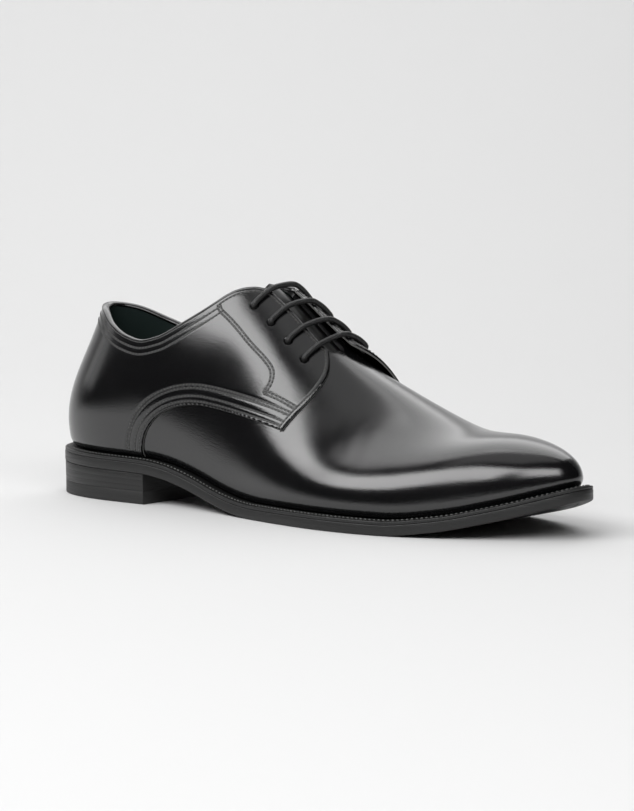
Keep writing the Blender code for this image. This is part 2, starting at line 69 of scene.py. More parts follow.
# The insole's top and its edge inside the wall, and that edge as (inset, height) pairs from the bottom up
INSOLE_RIM = 3.0
INSOLE_CLEARANCE = 2.7
INSOLE_EDGE = (
    (WELT_WIDTH + GAP, OUTSOLE_THICK + GAP),
    (WELT_WIDTH + GAP, FEATHER),
    (INSOLE_CLEARANCE, FEATHER),
    (INSOLE_CLEARANCE, FEATHER + INSOLE_RIM - EDGE_BEVEL),
    (INSOLE_CLEARANCE + EDGE_BEVEL, FEATHER + INSOLE_RIM),
)

# The upper: wall, throat slot and tongue
WALL = 1.8
FACING_GAP = {LATERAL: 7.5, MEDIAL: 3.0}
THROAT_GAP = {LATERAL: 8.2, MEDIAL: 3.7}
THROAT_FRONT_X = 9.0
THROAT_BACK_X = -60.0
THROAT_ROUND = 7.0
TONGUE_GAP = 1.0
TONGUE_THICK = 2.0
TONGUE_FRONT_X = 21.0
TONGUE_TOP_X = -33.0
TONGUE_DEPTH = 10.0
TONGUE_FLARE = 8.0

# The lace and its eyelets
LACE_DIAMETER = 2.6
LACE_ARCH = 0.8
EYELETS = np.array([
    # x and distance from the throat's middle: lateral eyelet, medial eyelet
    (-0.3, 17.8, 7.7, 13.5),
    (-9.9, 17.4, -1.9, 13.3),
    (-20.0, 16.8, -12.0, 13.0),
    (-30.4, 15.9, -22.4, 12.6),
])

# Rows from toe to heel: profile of the outsole's underside
SOLE_PROFILE = np.array([
    # x, height
    (150.0, 17.6), (138.0, 13.6), (120.0, 8.2), (95.0, 2.6), (70.0, 0.0), (-6.0, 0.0), (-18.0, 0.8),
    (-29.0, 2.6), (-39.0, 5.2), (-49.0, 8.3), (-59.0, 11.0), (-70.0, 13.3), (-84.0, 14.7), (-120.0, 15.2),
    (-155.0, 16.0),
])

# Rows from toe tip to heel back, one for each section of the last. x, lateral, medial: feather edge.
# lean_lateral, lean_medial, rise: how the wall leaves it. reach, drop: how it turns into the top.
# top_x, top_half, top_z: the top line, open where top_half is over 0. mid: its middle.
# hip_out, hip_up: how the lateral wall falls in half way up.
SECTION_COLUMNS = (
    "x lateral medial lean_lateral lean_medial rise reach drop "
    "top_x top_half top_z mid hip_out hip_up"
).split()
SECTIONS = np.array([
    (144.6, -2.8, 2.8, 0.0, 0.0, 0.55, 0.55, 0.00, 144.6, 0.0, 24.8, 2.8, 0.0, 0.00),
    (142.3, 4.4, 9.8, 0.3, 0.3, 0.60, 0.58, 0.00, 142.4, 0.0, 31.8, 2.8, 0.0, 0.00),
    (136.0, 11.8, 17.0, 0.8, 0.8, 0.64, 0.60, 0.00, 136.0, 0.0, 36.8, 2.9, 0.0, 0.00),
    (124.0, 22.0, 26.4, 1.4, 1.4, 0.68, 0.60, 0.00, 124.0, 0.0, 41.0, 3.0, 0.0, 0.00),
    (106.0, 32.8, 36.2, 2.0, 2.0, 0.72, 0.58, 0.00, 106.0, 0.0, 43.6, 3.2, 0.0, 0.00),
    (84.0, 41.6, 43.6, 2.8, 2.2, 0.72, 0.54, 0.00, 84.0, 0.0, 44.4, 3.6, 0.2, -0.08),
    (60.0, 46.8, 46.6, 4.2, 2.2, 0.66, 0.54, 0.00, 60.0, 0.0, 51.6, 4.2, -3.9, -0.31),
    (34.0, 47.0, 42.4, 3.4, 2.8, 0.60, 0.57, 0.00, 33.0, 0.0, 63.6, 4.6, -3.9, -0.45),
    (5.0, 42.4, 33.4, 3.2, 4.0, 0.54, 0.65, 0.00, 3.0, 0.0, 79.8, 4.8, -3.9, -0.26),
    (-22.0, 36.6, 27.4, 2.8, 4.6, 0.48, 0.772, 0.02, -19.0, 0.0, 98.4, 4.6, 0.6, -0.16),
    (-42.0, 33.4, 26.0, 4.0, 5.4, 0.46, 0.77, 0.115, -35.0, 2.9, 109.0, 4.2, -1.0, -0.01),
    (-64.0, 31.2, 26.0, 5.6, 6.2, 0.45, 0.557, 0.258, -54.0, 10.5, 117.0, 3.0, 0.0, 0.00),
    (-92.0, 30.0, 27.6, 7.6, 7.6, 0.42, 0.28, 0.44, -80.0, 20.0, 117.0, 1.2, 0.0, 0.00),
    (-118.0, 28.2, 27.6, 9.6, 9.4, 0.38, 0.24, 0.46, -103.0, 17.5, 114.0, 0.4, 0.0, 0.00),
    (-138.0, 20.0, 20.0, 10.6, 10.6, 0.36, 0.24, 0.46, -119.5, 10.8, 112.0, 0.0, 0.0, 0.00),
    (-146.4, 10.2, 10.2, 10.8, 10.8, 0.36, 0.24, 0.46, -126.6, 5.4, 111.0, 0.0, 0.0, 0.00),
    (-149.0, 0.0, 0.0, 10.8, 10.8, 0.36, 0.24, 0.46, -129.0, 0.0, 111.0, 0.0, 0.0, 0.00),
])

# How far a section's control points lean along x towards its top, as a share
FORWARD_SHARE = 0.4

# Rows from the facing's top corner to the heel back: the collar's edge
COLLAR = np.array([
    # x, height
    (-24.0, 101.0), (-28.5, 102.4), (-32.0, 103.1), (-35.5, 103.6), (-39.0, 103.3), (-43.0, 102.1),
    (-47.0, 99.7), (-51.0, 96.6), (-57.0, 92.4), (-65.0, 87.5), (-73.0, 82.6), (-79.0, 79.6), (-90.0, 77.2),
    (-101.0, 79.0), (-113.0, 83.6), (-126.0, 90.0), (-139.0, 93.4),
])

# Each quarter's lower edge rises from its tip to a crest and falls to its foot at the sole
QUARTERS = {
    LATERAL: {"tip_x": 3.0, "tip_z": 41.5, "crest_x": -48.5, "crest_z": 49.5, "foot_x": -85.0},
    MEDIAL: {"tip_x": 27.0, "tip_z": 43.0, "crest_x": -20.0, "crest_z": 50.5, "foot_x": -62.0},
}
EDGE_BEND = 1.4
EDGE_ROUND = 2.2

# Rows from the tip to the throat: how far each quarter's front edge stands before its tip
FRONT_EDGE = np.array([
    # share of the edge's height, lateral, medial
    (0.00, 0.0, 0.0),
    (0.20, 3.6, -0.8),
    (0.40, 7.0, -2.6),
    (0.60, 9.1, -5.6),
    (0.80, 8.8, -10.2),
    (0.94, 5.3, -14.8),
    (1.00, 3.0, -17.5),
])

# The medial facing stands off the tongue and vamp: its height, how slowly that fades behind the front
# edge and ends before the collar, and the shares of the front edge's height where it starts and is full
FLAP_LIFT = 3.6
FLAP_LENGTH = 30.0
FLAP_BACK_X = -44.0
FLAP_FADE = 18.0
FLAP_START = 0.25
FLAP_FULL = 0.90

# The quarters as they are seen: height over the vamp, rounded cut edges, punched eyelets
QUARTER_LIFT = 1.5
QUARTER_SINK = 0.15
CUT_EDGE_LIP = 0.6
CUT_EDGE_ROUND = 0.9
EYELET_RADIUS = 1.5

# Seams: distance of each row of stitches from the edge that it follows. A row keeps ROW_CLEARANCE of it
# from the other edges. The lower rows start LOWER_AHEAD before the tip, in t.
LOWER_ROWS = (1.7, 4.2, 8.0, 9.6)
COLLAR_ROWS = (3.6, 6.6)
THROAT_ROW = 2.2
FRONT_ROW = 1.9
EYESTAY_HALF_GAP = 0.75
COLLAR_ROWS_FRONT_X = -50.0
ROW_CLEARANCE = 0.9
LOWER_AHEAD = 0.06
SHORTEST_ROW = 5.0

# The seam behind the eyelets, x and z from the collar to its corner, then forward to the front edge
EYESTAYS = {
    LATERAL: (
        (
            (-49.6, 96.8), (-47.2, 93.4), (-43.5, 91.0), (-34.7, 85.4), (-26.2, 78.9), (-18.3, 73.3),
            (-12.9, 69.0), (-10.2, 65.5), (-9.4, 61.1), (-10.7, 57.0),
        ),
        ((-10.7, 57.0), (-3.6, 55.0), (3.2, 52.5), (9.5, 50.0)),
    ),
    MEDIAL: (
        (
            (-49.6, 96.8), (-47.2, 93.4), (-43.5, 91.0), (-34.0, 86.2), (-22.0, 79.6), (-8.0, 72.2),
            (0.5, 66.6), (3.6, 62.6), (3.6, 58.3),
        ),
        ((3.6, 58.3), (14.0, 55.2), (26.0, 51.5)),
    ),
}

# The quarter swells along that seam, from RIDGE_TOP_X forward
RIDGE_HEIGHT = 1.2
RIDGE_WIDTH = 13.5
RIDGE_TOP_X = -40.0
SOFT_STEP = 8

# Soft creases, with x and z of their ends on the side of the last: the vamp's flex, then the ankle
CREASES = (
    # start, end, width, height over the leather
    ((54.0, 29.0), (47.0, 45.0), 4.4, -0.06),
    ((44.0, 31.0), (37.0, 49.0), 4.0, -0.08),
    ((49.0, 33.0), (43.0, 46.0), 4.0, 0.04),
    ((34.0, 33.0), (29.0, 49.0), 4.4, -0.06),
    ((-92.0, 62.0), (-66.0, 70.0), 5.0, -0.16),
    ((-80.0, 57.0), (-60.0, 62.0), 5.0, -0.10),
)
CREASE_POINTS = 12

# Stitches: pitch along the row, length, half thickness, and the troughs that they lie in
STITCH_PITCH = 2.0
STITCH_LENGTH = 1.6
STITCH_RADIUS = 0.42
DEEP_TROUGH = 0.2
MIDDLE_TROUGH = 0.14
LOW_TROUGH = 0.06
TROUGH_WIDTH = 0.6
SEAM_WIDTH = 0.75

# Name of the points' value that is 1 along a seam
SEAM_MARK = "seam"

# Sampling: points along curves, steps in t or v, and rounds of a search on the last
ROOT_SAMPLES = 160
FINE_SAMPLES = 640
FRONT_SAMPLES = 120
EDGE_SAMPLES = 900
AHEAD_SAMPLES = 40
EYESTAY_SAMPLES = 40
WELT_ROW_SAMPLES = 900
SLOPE_STEP = 0.0005
NEAR_ROUNDS = 6
SIDE_ROUNDS = 12
SIDE_LIMITS = (0.02, 0.98)
FRAME_COLUMNS = 44
CURVE_STEP = 0.2

# Meshes: the angle that stays sharp, digits of places that count as one, and rows and columns of the grids
SHARP_DEGREES = 42.0
MERGE_DIGITS = 3
RING_MARGIN = 0.002
QUARTER_COLUMNS_FINE = 320
QUARTER_ROWS_FINE = 170
UPPER_COLUMNS = 300
UPPER_ROWS = 60
TONGUE_COLUMNS = 60
TONGUE_ROWS = 16
SOLE_COLUMNS = 300

# A stitch: rings along it as shares of its half length and girth, how far its ends dip, and its seat over
# the trough
STITCH_RINGS = ((-1.0, 0.3), (-0.75, 0.8), (-0.3, 1.0), (0.3, 1.0), (0.75, 0.8), (1.0, 0.3))
STITCH_SIDES = 6
STITCH_DIP = 0.32
STITCH_SEAT = 0.06

# The rolled collar edge
COLLAR_START_X = -26.0
COLLAR_POINTS = 700
COLLAR_STEP = 0.6
ROLL_OUT = -0.15
ROLL_UP = -0.3
ROLL_HALF_WIDTH = 1.95
ROLL_HALF_HEIGHT = 1.25
ROLL_SIDES = 16
ROLL_TAPER = 8.0
ROLL_END = 0.25

# The lace: height of its middle over the last, how it dives into an eyelet, and its mesh
LACE_LIFT = 3.0
LACE_TURN = 2.4
LACE_DIVE = (-0.6, 0.9, 2.2)
LACE_POINTS = 5
LACE_STEPS = 360
LACE_SIDES = 32
BRAID_DEPTH = 0.07
BRAID_PITCH = 1.1
BRAID_STRANDS = 8

# The upper turns in above the welt: how far and over which height
TUCK_DEPTH = 1.4
TUCK_HEIGHT = 4.5

# The stitches along the welt: their row's distance from the feather edge, its height, and their pitch
WELT_ROW_OUT = 2.5
WELT_ROW_RISE = 6.98
WELT_STITCH_PITCH = 2.3

# Edges of the sole as (inset, height) pairs from the bottom up, with a sewn channel underneath
SOLE_SEAM = 0.12
OUTSOLE_EDGE = (
    (7.6, 0.0), (7.3, 0.1), (7.1, 0.5), (6.8, 0.5), (6.6, 0.1), (6.3, 0.0), (1.2, 0.0), (0.5, 0.06),
    (0.1, 0.3), (0.0, 0.7), (0.0, 4.5), (0.1, 4.72), (0.4, 4.92),
)
WELT_EDGE = ((0.5, 5.02), (0.22, 5.12), (0.15, 5.3), (0.15, 6.25), (0.25, 6.42), (0.5, 6.5), (0.9, 6.52))
WELT_CREASE = ((-1.5, 7.2), (-1.0, 7.25), (-0.5, 7.0), (0.0, 6.8))
HEEL_LAYERS = (
    # share of the block's height, depth of the groove there
    (0.0, 0.12), (0.02, 0.0), (0.32, 0.0), (0.335, 0.03), (0.35, 0.0), (0.64, 0.0), (0.655, 0.03),
    (0.67, 0.0), (0.98, 0.0), (1.0, 0.12),
)
TOP_PIECE_EDGE = ((0.6, 0.0), (0.2, 0.1), (0.0, 0.4), (0.0, 6.0), (0.15, 6.2))

# Looks of the leathers
LEATHERS = {
    # colour, least and most roughness, grain, other inputs
    "black_leather": ((0.0034, 0.0034, 0.0038), 0.14, 0.18, 1.0, {"IOR": 1.75}),
    "lining_leather": ((0.011, 0.022, 0.020), 0.55, 0.65, 0.8, {}),
    # The welt's top ledge is darker than its edge and has a low specular level: painted shade for the crease
    # where the welt meets the upper.
    "welt_top_painted_shade": ((0.005, 0.005, 0.005), 0.5, 0.6, 1.0, {"Specular IOR Level": 0.3}),
    "tongue_leather": ((0.0055, 0.0055, 0.0055), 0.34, 0.42, 1.0, {"Specular IOR Level": 0.5}),
    # The quarters' cut edges are a lighter grey: partly the raw edge's own tone, partly a painted highlight
    # for the bright line along each rim.
    "cut_edge_and_highlight": ((0.12, 0.12, 0.116), 0.55, 0.7, 1.5, {}),
}
SEAM_ROUGHNESS = 0.5
UNEVEN_SCALE = 45.0
SOFT_SCALE = 60.0
SOFT_DEPTH = 0.0012
SOFT_STRENGTH = 0.06
PORE_SCALE = 1900.0
PORE_SMOOTHNESS = 0.8
PORE_DEPTH = 0.0002
PORE_STRENGTH = 0.17

# Looks of the sole's inked edges, with fine level lines
EDGES = {
    # colour, roughness
    "sole_edge": ((0.015, 0.015, 0.015), 0.44),
    "top_piece": ((0.018, 0.018, 0.018), 0.55),
}
LINE_SCALES = (60.0, 60.0, 1800.0)
LINE_GLOSS = 0.06
LINE_MATT = 0.08
LINE_DETAIL = 2.0
LINE_DEPTH = 0.0003
LINE_STRENGTH = 0.25

# Looks of the threads
THREADS = {
    # colour, roughness, specular level
    "waxed_lace": ((0.0125, 0.0125, 0.0125), 0.42, 0.5),
    "stitch_thread": ((0.055, 0.055, 0.053), 0.45, 0.6),
}
WEAVE_SCALE = 1500.0
WEAVE_DEPTH = 0.0004
WEAVE_STRENGTH = 0.6

# Stage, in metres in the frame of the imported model
VIEW_RUN = (-0.596, 0.803)
SWEEP_FRONT = 2.2
SWEEP_BACK = 1.6
SWEEP_RADIUS = 0.9
SWEEP_TOP = 2.6
SWEEP_HALF_WIDTH = 3.0
SWEEP_STEPS = 24
FLOOR_COLOUR = (0.69, 0.69, 0.69)
FLOOR_ROUGHNESS = 0.9
WORLD_COLOUR = (1.0, 1.0, 1.0)
WORLD_STRENGTH = 0.0217
CAMERA_PLACE = (1.0576, -1.3085, 0.225)
CAMERA_AIM = (0.0, 0.0, 0.050)
CAMERA_LENS = 160.0
LIGHT_AIM = (0.0, 0.0, 0.05)
LIGHTS = (
    # name, azimuth and height angle seen from the shoe, distance, width, height, radiance
    ("left_box", -102.0, 46.0, 1.6, 2.20, 0.80, 4.87),
    ("right_box", -31.0, 35.0, 1.6, 0.86, 0.62, 4.33),
    ("heel_panel", -168.0, 16.0, 1.6, 0.60, 0.50, 0.70),
    ("back_panel", 132.0, 50.0, 1.5, 1.9, 1.4, 1.75),
    ("ceiling", 0.0, 90.0, 1.7, 1.2, 1.2, 0.54),
)


def monotone(knots, values, at):
    """Values between knots in rising or falling order, with no overshoot."""
    order = np.argsort(knots)
    knots, values = np.asarray(knots, float)[order], np.asarray(values, float)[order]
    width = np.diff(knots)
    chord = np.diff(values) / width
    slope = np.concatenate([chord[:1], np.zeros(len(knots) - 2), chord[-1:]])
    for k in range(1, len(knots) - 1):
        if chord[k - 1] * chord[k] > 0:
            slope[k] = 2 * chord[k - 1] * chord[k] / (chord[k - 1] + chord[k])
    at = np.clip(at, knots[0], knots[-1])
    k = np.clip(np.searchsorted(knots, at) - 1, 0, len(width) - 1)
    s = (at - knots[k]) / width[k]
    rise = values[k] * (1 + 2 * s) * (1 - s) ** 2 + values[k + 1] * s * s * (3 - 2 * s)
    return rise + width[k] * (slope[k] * s * (1 - s) ** 2 - slope[k + 1] * s * s * (1 - s))


def ease(share):
    """A soft step from 0 to 1."""
    share = np.clip(share, 0, 1)
    return share**2 * (3 - 2 * share)


def unit(vectors):
    """Vectors brought to length 1."""
    return vectors / np.linalg.norm(vectors, axis=-1, keepdims=True)


def lengths(path):
    """Distance along a path from its start to each of its points."""
    return np.concatenate([[0.0], np.cumsum(np.linalg.norm(np.diff(path, axis=0), axis=1))])


def spline(knots, values, at, flat_start=False, flat_end=False):
    """A smooth cubic through the knots, level at an end that is flat and free of bend at one that isn't."""
    count = len(knots)
    width = np.diff(knots)
    chord = np.diff(values) / width
    system = np.zeros((count, count))
    right = np.zeros(count)
    for k in range(1, count - 1):
        system[k, k - 1:k + 2] = width[k - 1], 2 * (width[k - 1] + width[k]), width[k]
        right[k] = 6 * (chord[k] - chord[k - 1])
    system[0, 0] = system[-1, -1] = 1.0
    if flat_start:
        system[0, :2] = 2 * width[0], width[0]
        right[0] = 6 * chord[0]
    if flat_end:
        system[-1, -2:] = width[-1], 2 * width[-1]
        right[-1] = -6 * chord[-1]
    bend = np.linalg.solve(system, right)
    k = np.clip(np.searchsorted(knots, at) - 1, 0, count - 2)
    after, before = knots[k + 1] - at, at - knots[k]
    cubic = (bend[k] * after**3 + bend[k + 1] * before**3) / (6 * width[k])
    return (
        cubic
        + (values[k] / width[k] - bend[k] * width[k] / 6) * after
        + (values[k + 1] / width[k] - bend[k + 1] * width[k] / 6) * before
    )


def section_knots():
    """t of each section: its share of the feather edge's length."""
    half = (SECTIONS[:, 1] + SECTIONS[:, 2]) / 2
    steps = np.hypot(np.diff(SECTIONS[:, 0]), np.diff(half))
    along = np.concatenate([[0.0], np.cumsum(steps)])
    return along / along[-1]


KNOTS = section_knots()


def column(name, t):
    """One column of the section table at t."""
    values = SECTIONS[:, SECTION_COLUMNS.index(name)]
    if name == "top_half":
        return monotone(KNOTS, values, t)
    along_axis = name in ("x", "top_x")
    return spline(KNOTS, values, np.asarray(t, float), along_axis, along_axis or name == "top_z")


def sole_height(x):
    """Height of the outsole's underside over the floor."""
    return monotone(SOLE_PROFILE[:, 0], SOLE_PROFILE[:, 1], x)


def feather_plan(t, side):
    """The feather edge in plan and its outward direction."""
    def edge(at):
        name = "lateral" if side == LATERAL else "medial"
        return np.stack([column("x", at), side * column(name, at)], -1)

    run = edge(np.clip(t + SLOPE_STEP, 0, 1)) - edge(np.clip(t - SLOPE_STEP, 0, 1))
    outward = side * np.stack([run[..., 1], -run[..., 0]], -1)
    return edge(t), unit(outward)


def last_point(t, v, side):
    """A point on the last: a cubic from the feather edge to the top line."""
    t, v = np.asarray(t, float), np.asarray(v, float)[..., None]
    now = {name: column(name, t) for name in SECTION_COLUMNS}
    plan, outward = feather_plan(t, side)
    foot = np.stack([plan[..., 0], plan[..., 1], sole_height(plan[..., 0]) + FEATHER], -1)
    top = np.stack([now["top_x"], now["mid"] + side * now["top_half"], now["top_z"]], -1)
    forward = FORWARD_SHARE * (top[..., 0] - foot[..., 0])
    height = top[..., 2] - foot[..., 2]
    flare = now["lean_lateral"] if side == LATERAL else now["lean_medial"]
    half = (now["lateral"] + now["medial"]) / 2 - now["top_half"]
    wall = foot + np.stack([
        now["rise"] * forward + flare * outward[..., 0],
        flare * outward[..., 1],
        now["rise"] * height,
    ], -1)
    shoulder = top + np.stack([
        -now["drop"] * forward,
        now["reach"] * side * half,
        -now["drop"] * height,
    ], -1)
    hip = np.stack([
        now["hip_out"] * outward[..., 0],
        now["hip_out"] * outward[..., 1],
        now["hip_up"] * height,
    ], -1)
    cubic = foot * (1 - v) ** 3 + 3 * wall * v * (1 - v) ** 2 + 3 * shoulder * v * v * (1 - v) + top * v**3
    return cubic + (6 * hip * v**2 * (1 - v) ** 2 if side == LATERAL else 0)


def slopes(t, v, side):
    """How a point of the last moves with t and with v."""
    t, v = np.asarray(t, float), np.asarray(v, float)
    behind, before = np.clip(t + SLOPE_STEP, 0, 1), np.clip(t - SLOPE_STEP, 0, 1)
    above, below = np.clip(v + SLOPE_STEP, 0, 1), np.clip(v - SLOPE_STEP, 0, 1)
    along = last_point(behind, v, side) - last_point(before, v, side)
    up = last_point(t, above, side) - last_point(t, below, side)
    return along / (behind - before)[..., None], up / (above - below)[..., None]


def last_normal(t, v, side):
    """Outward direction of the last, level along the feather edge and at the toe's tip."""
    along, up = slopes(t, v, side)
    normal = side * np.cross(along, up)
    normal[np.broadcast_to(v, normal.shape[:-1]) <= 0, 2] = 0.0
    normal[np.broadcast_to(t, normal.shape[:-1]) <= 0] = 1.0, 0.0, 0.0
    return unit(normal)


def over_last(t, v, side, offset):
    """A point offset outwards from the last."""
    return last_point(t, v, side) + np.asarray(offset)[..., None] * last_normal(t, v, side)


def first_v(t, side, past):
    """The lowest v of each t where past(point) turns positive, or 1."""
    v = np.linspace(0, 1, ROOT_SAMPLES)
    value = past(last_point(np.asarray(t)[:, None], v[None, :], side))
    beyond = value > 0
    k = np.argmax(beyond, axis=1)
    rows = np.arange(len(value))
    below = value[rows, np.maximum(k - 1, 0)]
    share = np.where(k > 0, below / np.where(k > 0, below - value[rows, k], 1), 0)
    found = np.where(k > 0, v[np.maximum(k - 1, 0)] + share * v[1], 0)
    return np.where(beyond.any(axis=1), found, 1.0)


def t_at(x, name="top_x"):
    """t where the top line passes x, or the feather edge for the column x."""
    t = np.linspace(0, 1, FINE_SAMPLES)
    return np.interp(-np.asarray(x), -column(name, t), t)


def middle(x):
    """y of the throat's middle line."""
    t = np.linspace(0, 1, ROOT_SAMPLES)
    return np.interp(-x, -column("top_x", t), column("mid", t))


def v_beside(t, side, distance):
    """v of each t at its own distance from the throat's middle."""
    def past_row(point):
        return distance[:, None] - side * (point[..., 1] - middle(point[..., 0]))

    return first_v(t, side, past_row)


def top_limit(t, side, half_gap):
    """v where the upper ends: at the collar, or at the throat slot where half_gap(x, side) is over 0."""
    def past_collar(point):
        return point[..., 2] - monotone(COLLAR[:, 0], COLLAR[:, 1], point[..., 0])

    def past_slot(point):
        x = point[..., 0]
        return half_gap(x, side) - side * (point[..., 1] - middle(x))

    return np.minimum(first_v(t, side, past_collar), first_v(t, side, past_slot))


def throat_gap(x, side):
    """Half-width of the slot in the upper, round at its front end."""
    share = np.clip((x - THROAT_FRONT_X + THROAT_ROUND) / THROAT_ROUND, 0, 1)
    within = (x > THROAT_BACK_X) & (x < THROAT_FRONT_X)
    return np.where(within, THROAT_GAP[side] * np.sqrt(1 - share**2), -1.0)


def facing_gap(x, side):
    """Distance of a facing's edge from the throat's middle."""
    return np.where(x > THROAT_BACK_X, FACING_GAP[side], -1.0)


def quarter_limit(t, side):
    """v of the quarter's lower edge."""
    size = QUARTERS[side]
    climb = size["crest_z"] - size["tip_z"]

    def past_edge(point):
        x = point[..., 0]
        ahead = np.abs(x - size["crest_x"]) / (size["tip_x"] - size["crest_x"])
        behind = np.clip((size["crest_x"] - x) / (size["crest_x"] - size["foot_x"]), 0, 1)
        sill = sole_height(size["foot_x"]) + FEATHER
        fall = size["crest_z"] - sill
        low = sill + fall * (1 - behind**EDGE_ROUND) ** (1 / EDGE_ROUND)
        edge = np.where(x > size["crest_x"], size["crest_z"] - climb * ahead**EDGE_BEND, low)
        return np.where(behind < 1, point[..., 2] - edge, 1.0)

    return first_v(t, side, past_edge)


def front_x(side, share):
    """x, along the top line, of the quarter's front edge at a share of its height."""
    ahead = FRONT_EDGE[:, 1 if side == LATERAL else 2]
    return QUARTERS[side]["tip_x"] + spline(FRONT_EDGE[:, 0], ahead, share)


def flap_lift(t, v, side):
    """How far the quarter stands off the vamp at points in flat arrays."""
    if side == LATERAL:
        return np.zeros(len(t))
    low, high = quarter_limit(t, side), top_limit(t, side, facing_gap)
    share = np.clip((v - low) / (high - low), 0, 1)
    rise = ease((share - FLAP_START) / (FLAP_FULL - FLAP_START))
    behind = np.maximum(front_x(side, share) - column("top_x", t), 0)
    before_collar = ease((column("top_x", t) - FLAP_BACK_X) / FLAP_FADE)
    return FLAP_LIFT * rise * before_collar * np.exp(-(behind / FLAP_LENGTH) ** 2)


def outline(t, inset):
    """A loop round the sole in plan, from the toe along the lateral side and back along the medial."""
    sides = []
    for side in SIDES:
        edge, outward = feather_plan(t, side)
        sides.append(edge - np.asarray(inset)[..., None] * outward)
    return np.concatenate([sides[0], sides[1][-2:0 if t[0] == 0 else None:-1]])


def ledge(t):
    """How far the sole stands out beyond the last."""
    blend = np.clip((LEDGE_WAIST_X - column("x", t)) / LEDGE_BLEND, 0, 1)
    return LEDGE_FRONT + (LEDGE_BACK - LEDGE_FRONT) * blend


def sole_centre():
    """The point on the floor under the middle of the outsole's outline."""
    t = np.linspace(0, 1, FRAME_COLUMNS + 1)
    edge = outline(t, -ledge(t))
    return np.append((edge.min(axis=0) + edge.max(axis=0)) / 2, 0.0)


CENTRE = sole_centre()


def in_frame(points):
    """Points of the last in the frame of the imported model, in metres."""
    return METRES * (np.asarray(points) - CENTRE)


def level(plan, height):
    """A loop in plan lifted to a height."""
    return np.column_stack([plan, np.broadcast_to(height, len(plan))])


def along_sole(plan, rise):
    """A loop in plan lifted to a distance above the sole's underside."""
    return level(plan, sole_height(plan[:, 0]) + rise)


# Curves on the last are pairs of arrays, t and v
def resample(t, v, side, step):
    """A curve with points at even steps along its length."""
    along = lengths(last_point(t, v, side))
    at = np.linspace(0, along[-1], max(2, int(round(along[-1] / step)) + 1))
    return np.interp(at, along, t), np.interp(at, along, v)


def on_last(points, t, v, side):
    """The nearest t and v to points near the last, from a first guess."""
    for _ in range(NEAR_ROUNDS):
        miss = points - last_point(t, v, side)
        along, up = slopes(t, v, side)
        aa, ab, bb = (along**2).sum(-1), (along * up).sum(-1), (up**2).sum(-1)
        pa, pb = (miss * along).sum(-1), (miss * up).sum(-1)
        det = aa * bb - ab**2
        t = np.clip(t + (pa * bb - pb * ab) / det, 0, 1)
        v = np.clip(v + (pb * aa - pa * ab) / det, 0, 1)
    return t, v


def on_side(x, z, side):
    """t and v where the last's side has this x and z, searched from half way up."""
    t, v = t_at(x), np.full(len(x), 0.5)
    for _ in range(SIDE_ROUNDS):
        point = last_point(t, v, side)
        along, up = slopes(t, v, side)
        miss_x, miss_z = x - point[:, 0], z - point[:, 2]
        det = along[:, 0] * up[:, 2] - along[:, 2] * up[:, 0]
        t = np.clip(t + (miss_x * up[:, 2] - miss_z * up[:, 0]) / det, *SIDE_LIMITS)
        v = np.clip(v + (miss_z * along[:, 0] - miss_x * along[:, 2]) / det, *SIDE_LIMITS)
    return t, v


def directions(t, v, side):
    """Points, run and outward direction along a curve."""
    points = last_point(t, v, side)
    return points, unit(np.gradient(points, axis=0)), last_normal(t, v, side)


def beside(t, v, side, distance):
    """A curve beside another one: above one that runs to the heel, for a distance over 0."""
    points, run, normal = directions(t, v, side)
    return on_last(points + distance * side * np.cross(normal, run), t, v, side)


def nearest(places, points):
    """Distance from each point to the nearest of some places."""
    tree = KDTree(len(places))
    for k, place in enumerate(places):
        tree.insert(place, k)
    tree.balance()
    return np.array([tree.find(point)[2] for point in points])


def inside(t, v, ring_t, ring_v):
    """True where t and v lie inside a ring."""
    odd = np.zeros(np.shape(t), bool)
    for k in range(len(ring_t)):
        t0, v0, t1, v1 = ring_t[k - 1], ring_v[k - 1], ring_t[k], ring_v[k]
        if v0 != v1:
            crosses = (v0 > v) != (v1 > v)
            odd ^= crosses & (t < t0 + (v - v0) / (v1 - v0) * (t1 - t0))
    return odd


def tuck(t, v, side):
    """How far the upper turns in at points near the welt."""
    up = last_point(t, v, side)[..., 2] - last_point(t, 0 * v, side)[..., 2]
    return TUCK_DEPTH * (1 - np.clip(up / TUCK_HEIGHT, 0, 1)) ** 2


def quarter_edges(side):
    """The quarter's lower, front and top edges: tip to foot, tip to throat, throat to heel back."""
    share = np.linspace(0, 1, FRONT_SAMPLES)
    t = t_at(front_x(side, share))
    low, high = quarter_limit(t, side), top_limit(t, side, facing_gap)
    front = resample(t, low + (high - low) * share, side, CURVE_STEP)
    slowing = 1 - (1 - np.linspace(0, 1, EDGE_SAMPLES)) ** 2
    t = t[0] + (t_at(QUARTERS[side]["foot_x"], "x") - t[0]) * slowing
    lower = resample(t, quarter_limit(t, side), side, CURVE_STEP)
    t = np.linspace(front[0][-1], 1, EDGE_SAMPLES)
    top = resample(t, top_limit(t, side, facing_gap), side, CURVE_STEP)
    return lower, front, top


# Pieces
def add_piece(name, points, faces, materials, nodes=(), face_slots=None):
    """A smooth piece from points in millimetres: it rides on the shoe and stands for its CAD nodes."""
    mesh = bpy.data.meshes.new(name)
    mesh.from_pydata(in_frame(points).tolist(), [], faces)
    for material in materials:
        mesh.materials.append(material)
    if face_slots is not None:
        mesh.polygons.foreach_set("material_index", np.asarray(face_slots, np.int32))
    mesh.validate()
    mesh.shade_smooth()
    mesh.set_sharp_from_angle(angle=np.radians(SHARP_DEGREES))
    piece = bpy.data.objects.new(name, mesh)
    bpy.context.collection.objects.link(piece)
    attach(piece, "root")
    if nodes:
        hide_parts(*nodes)
    return piece


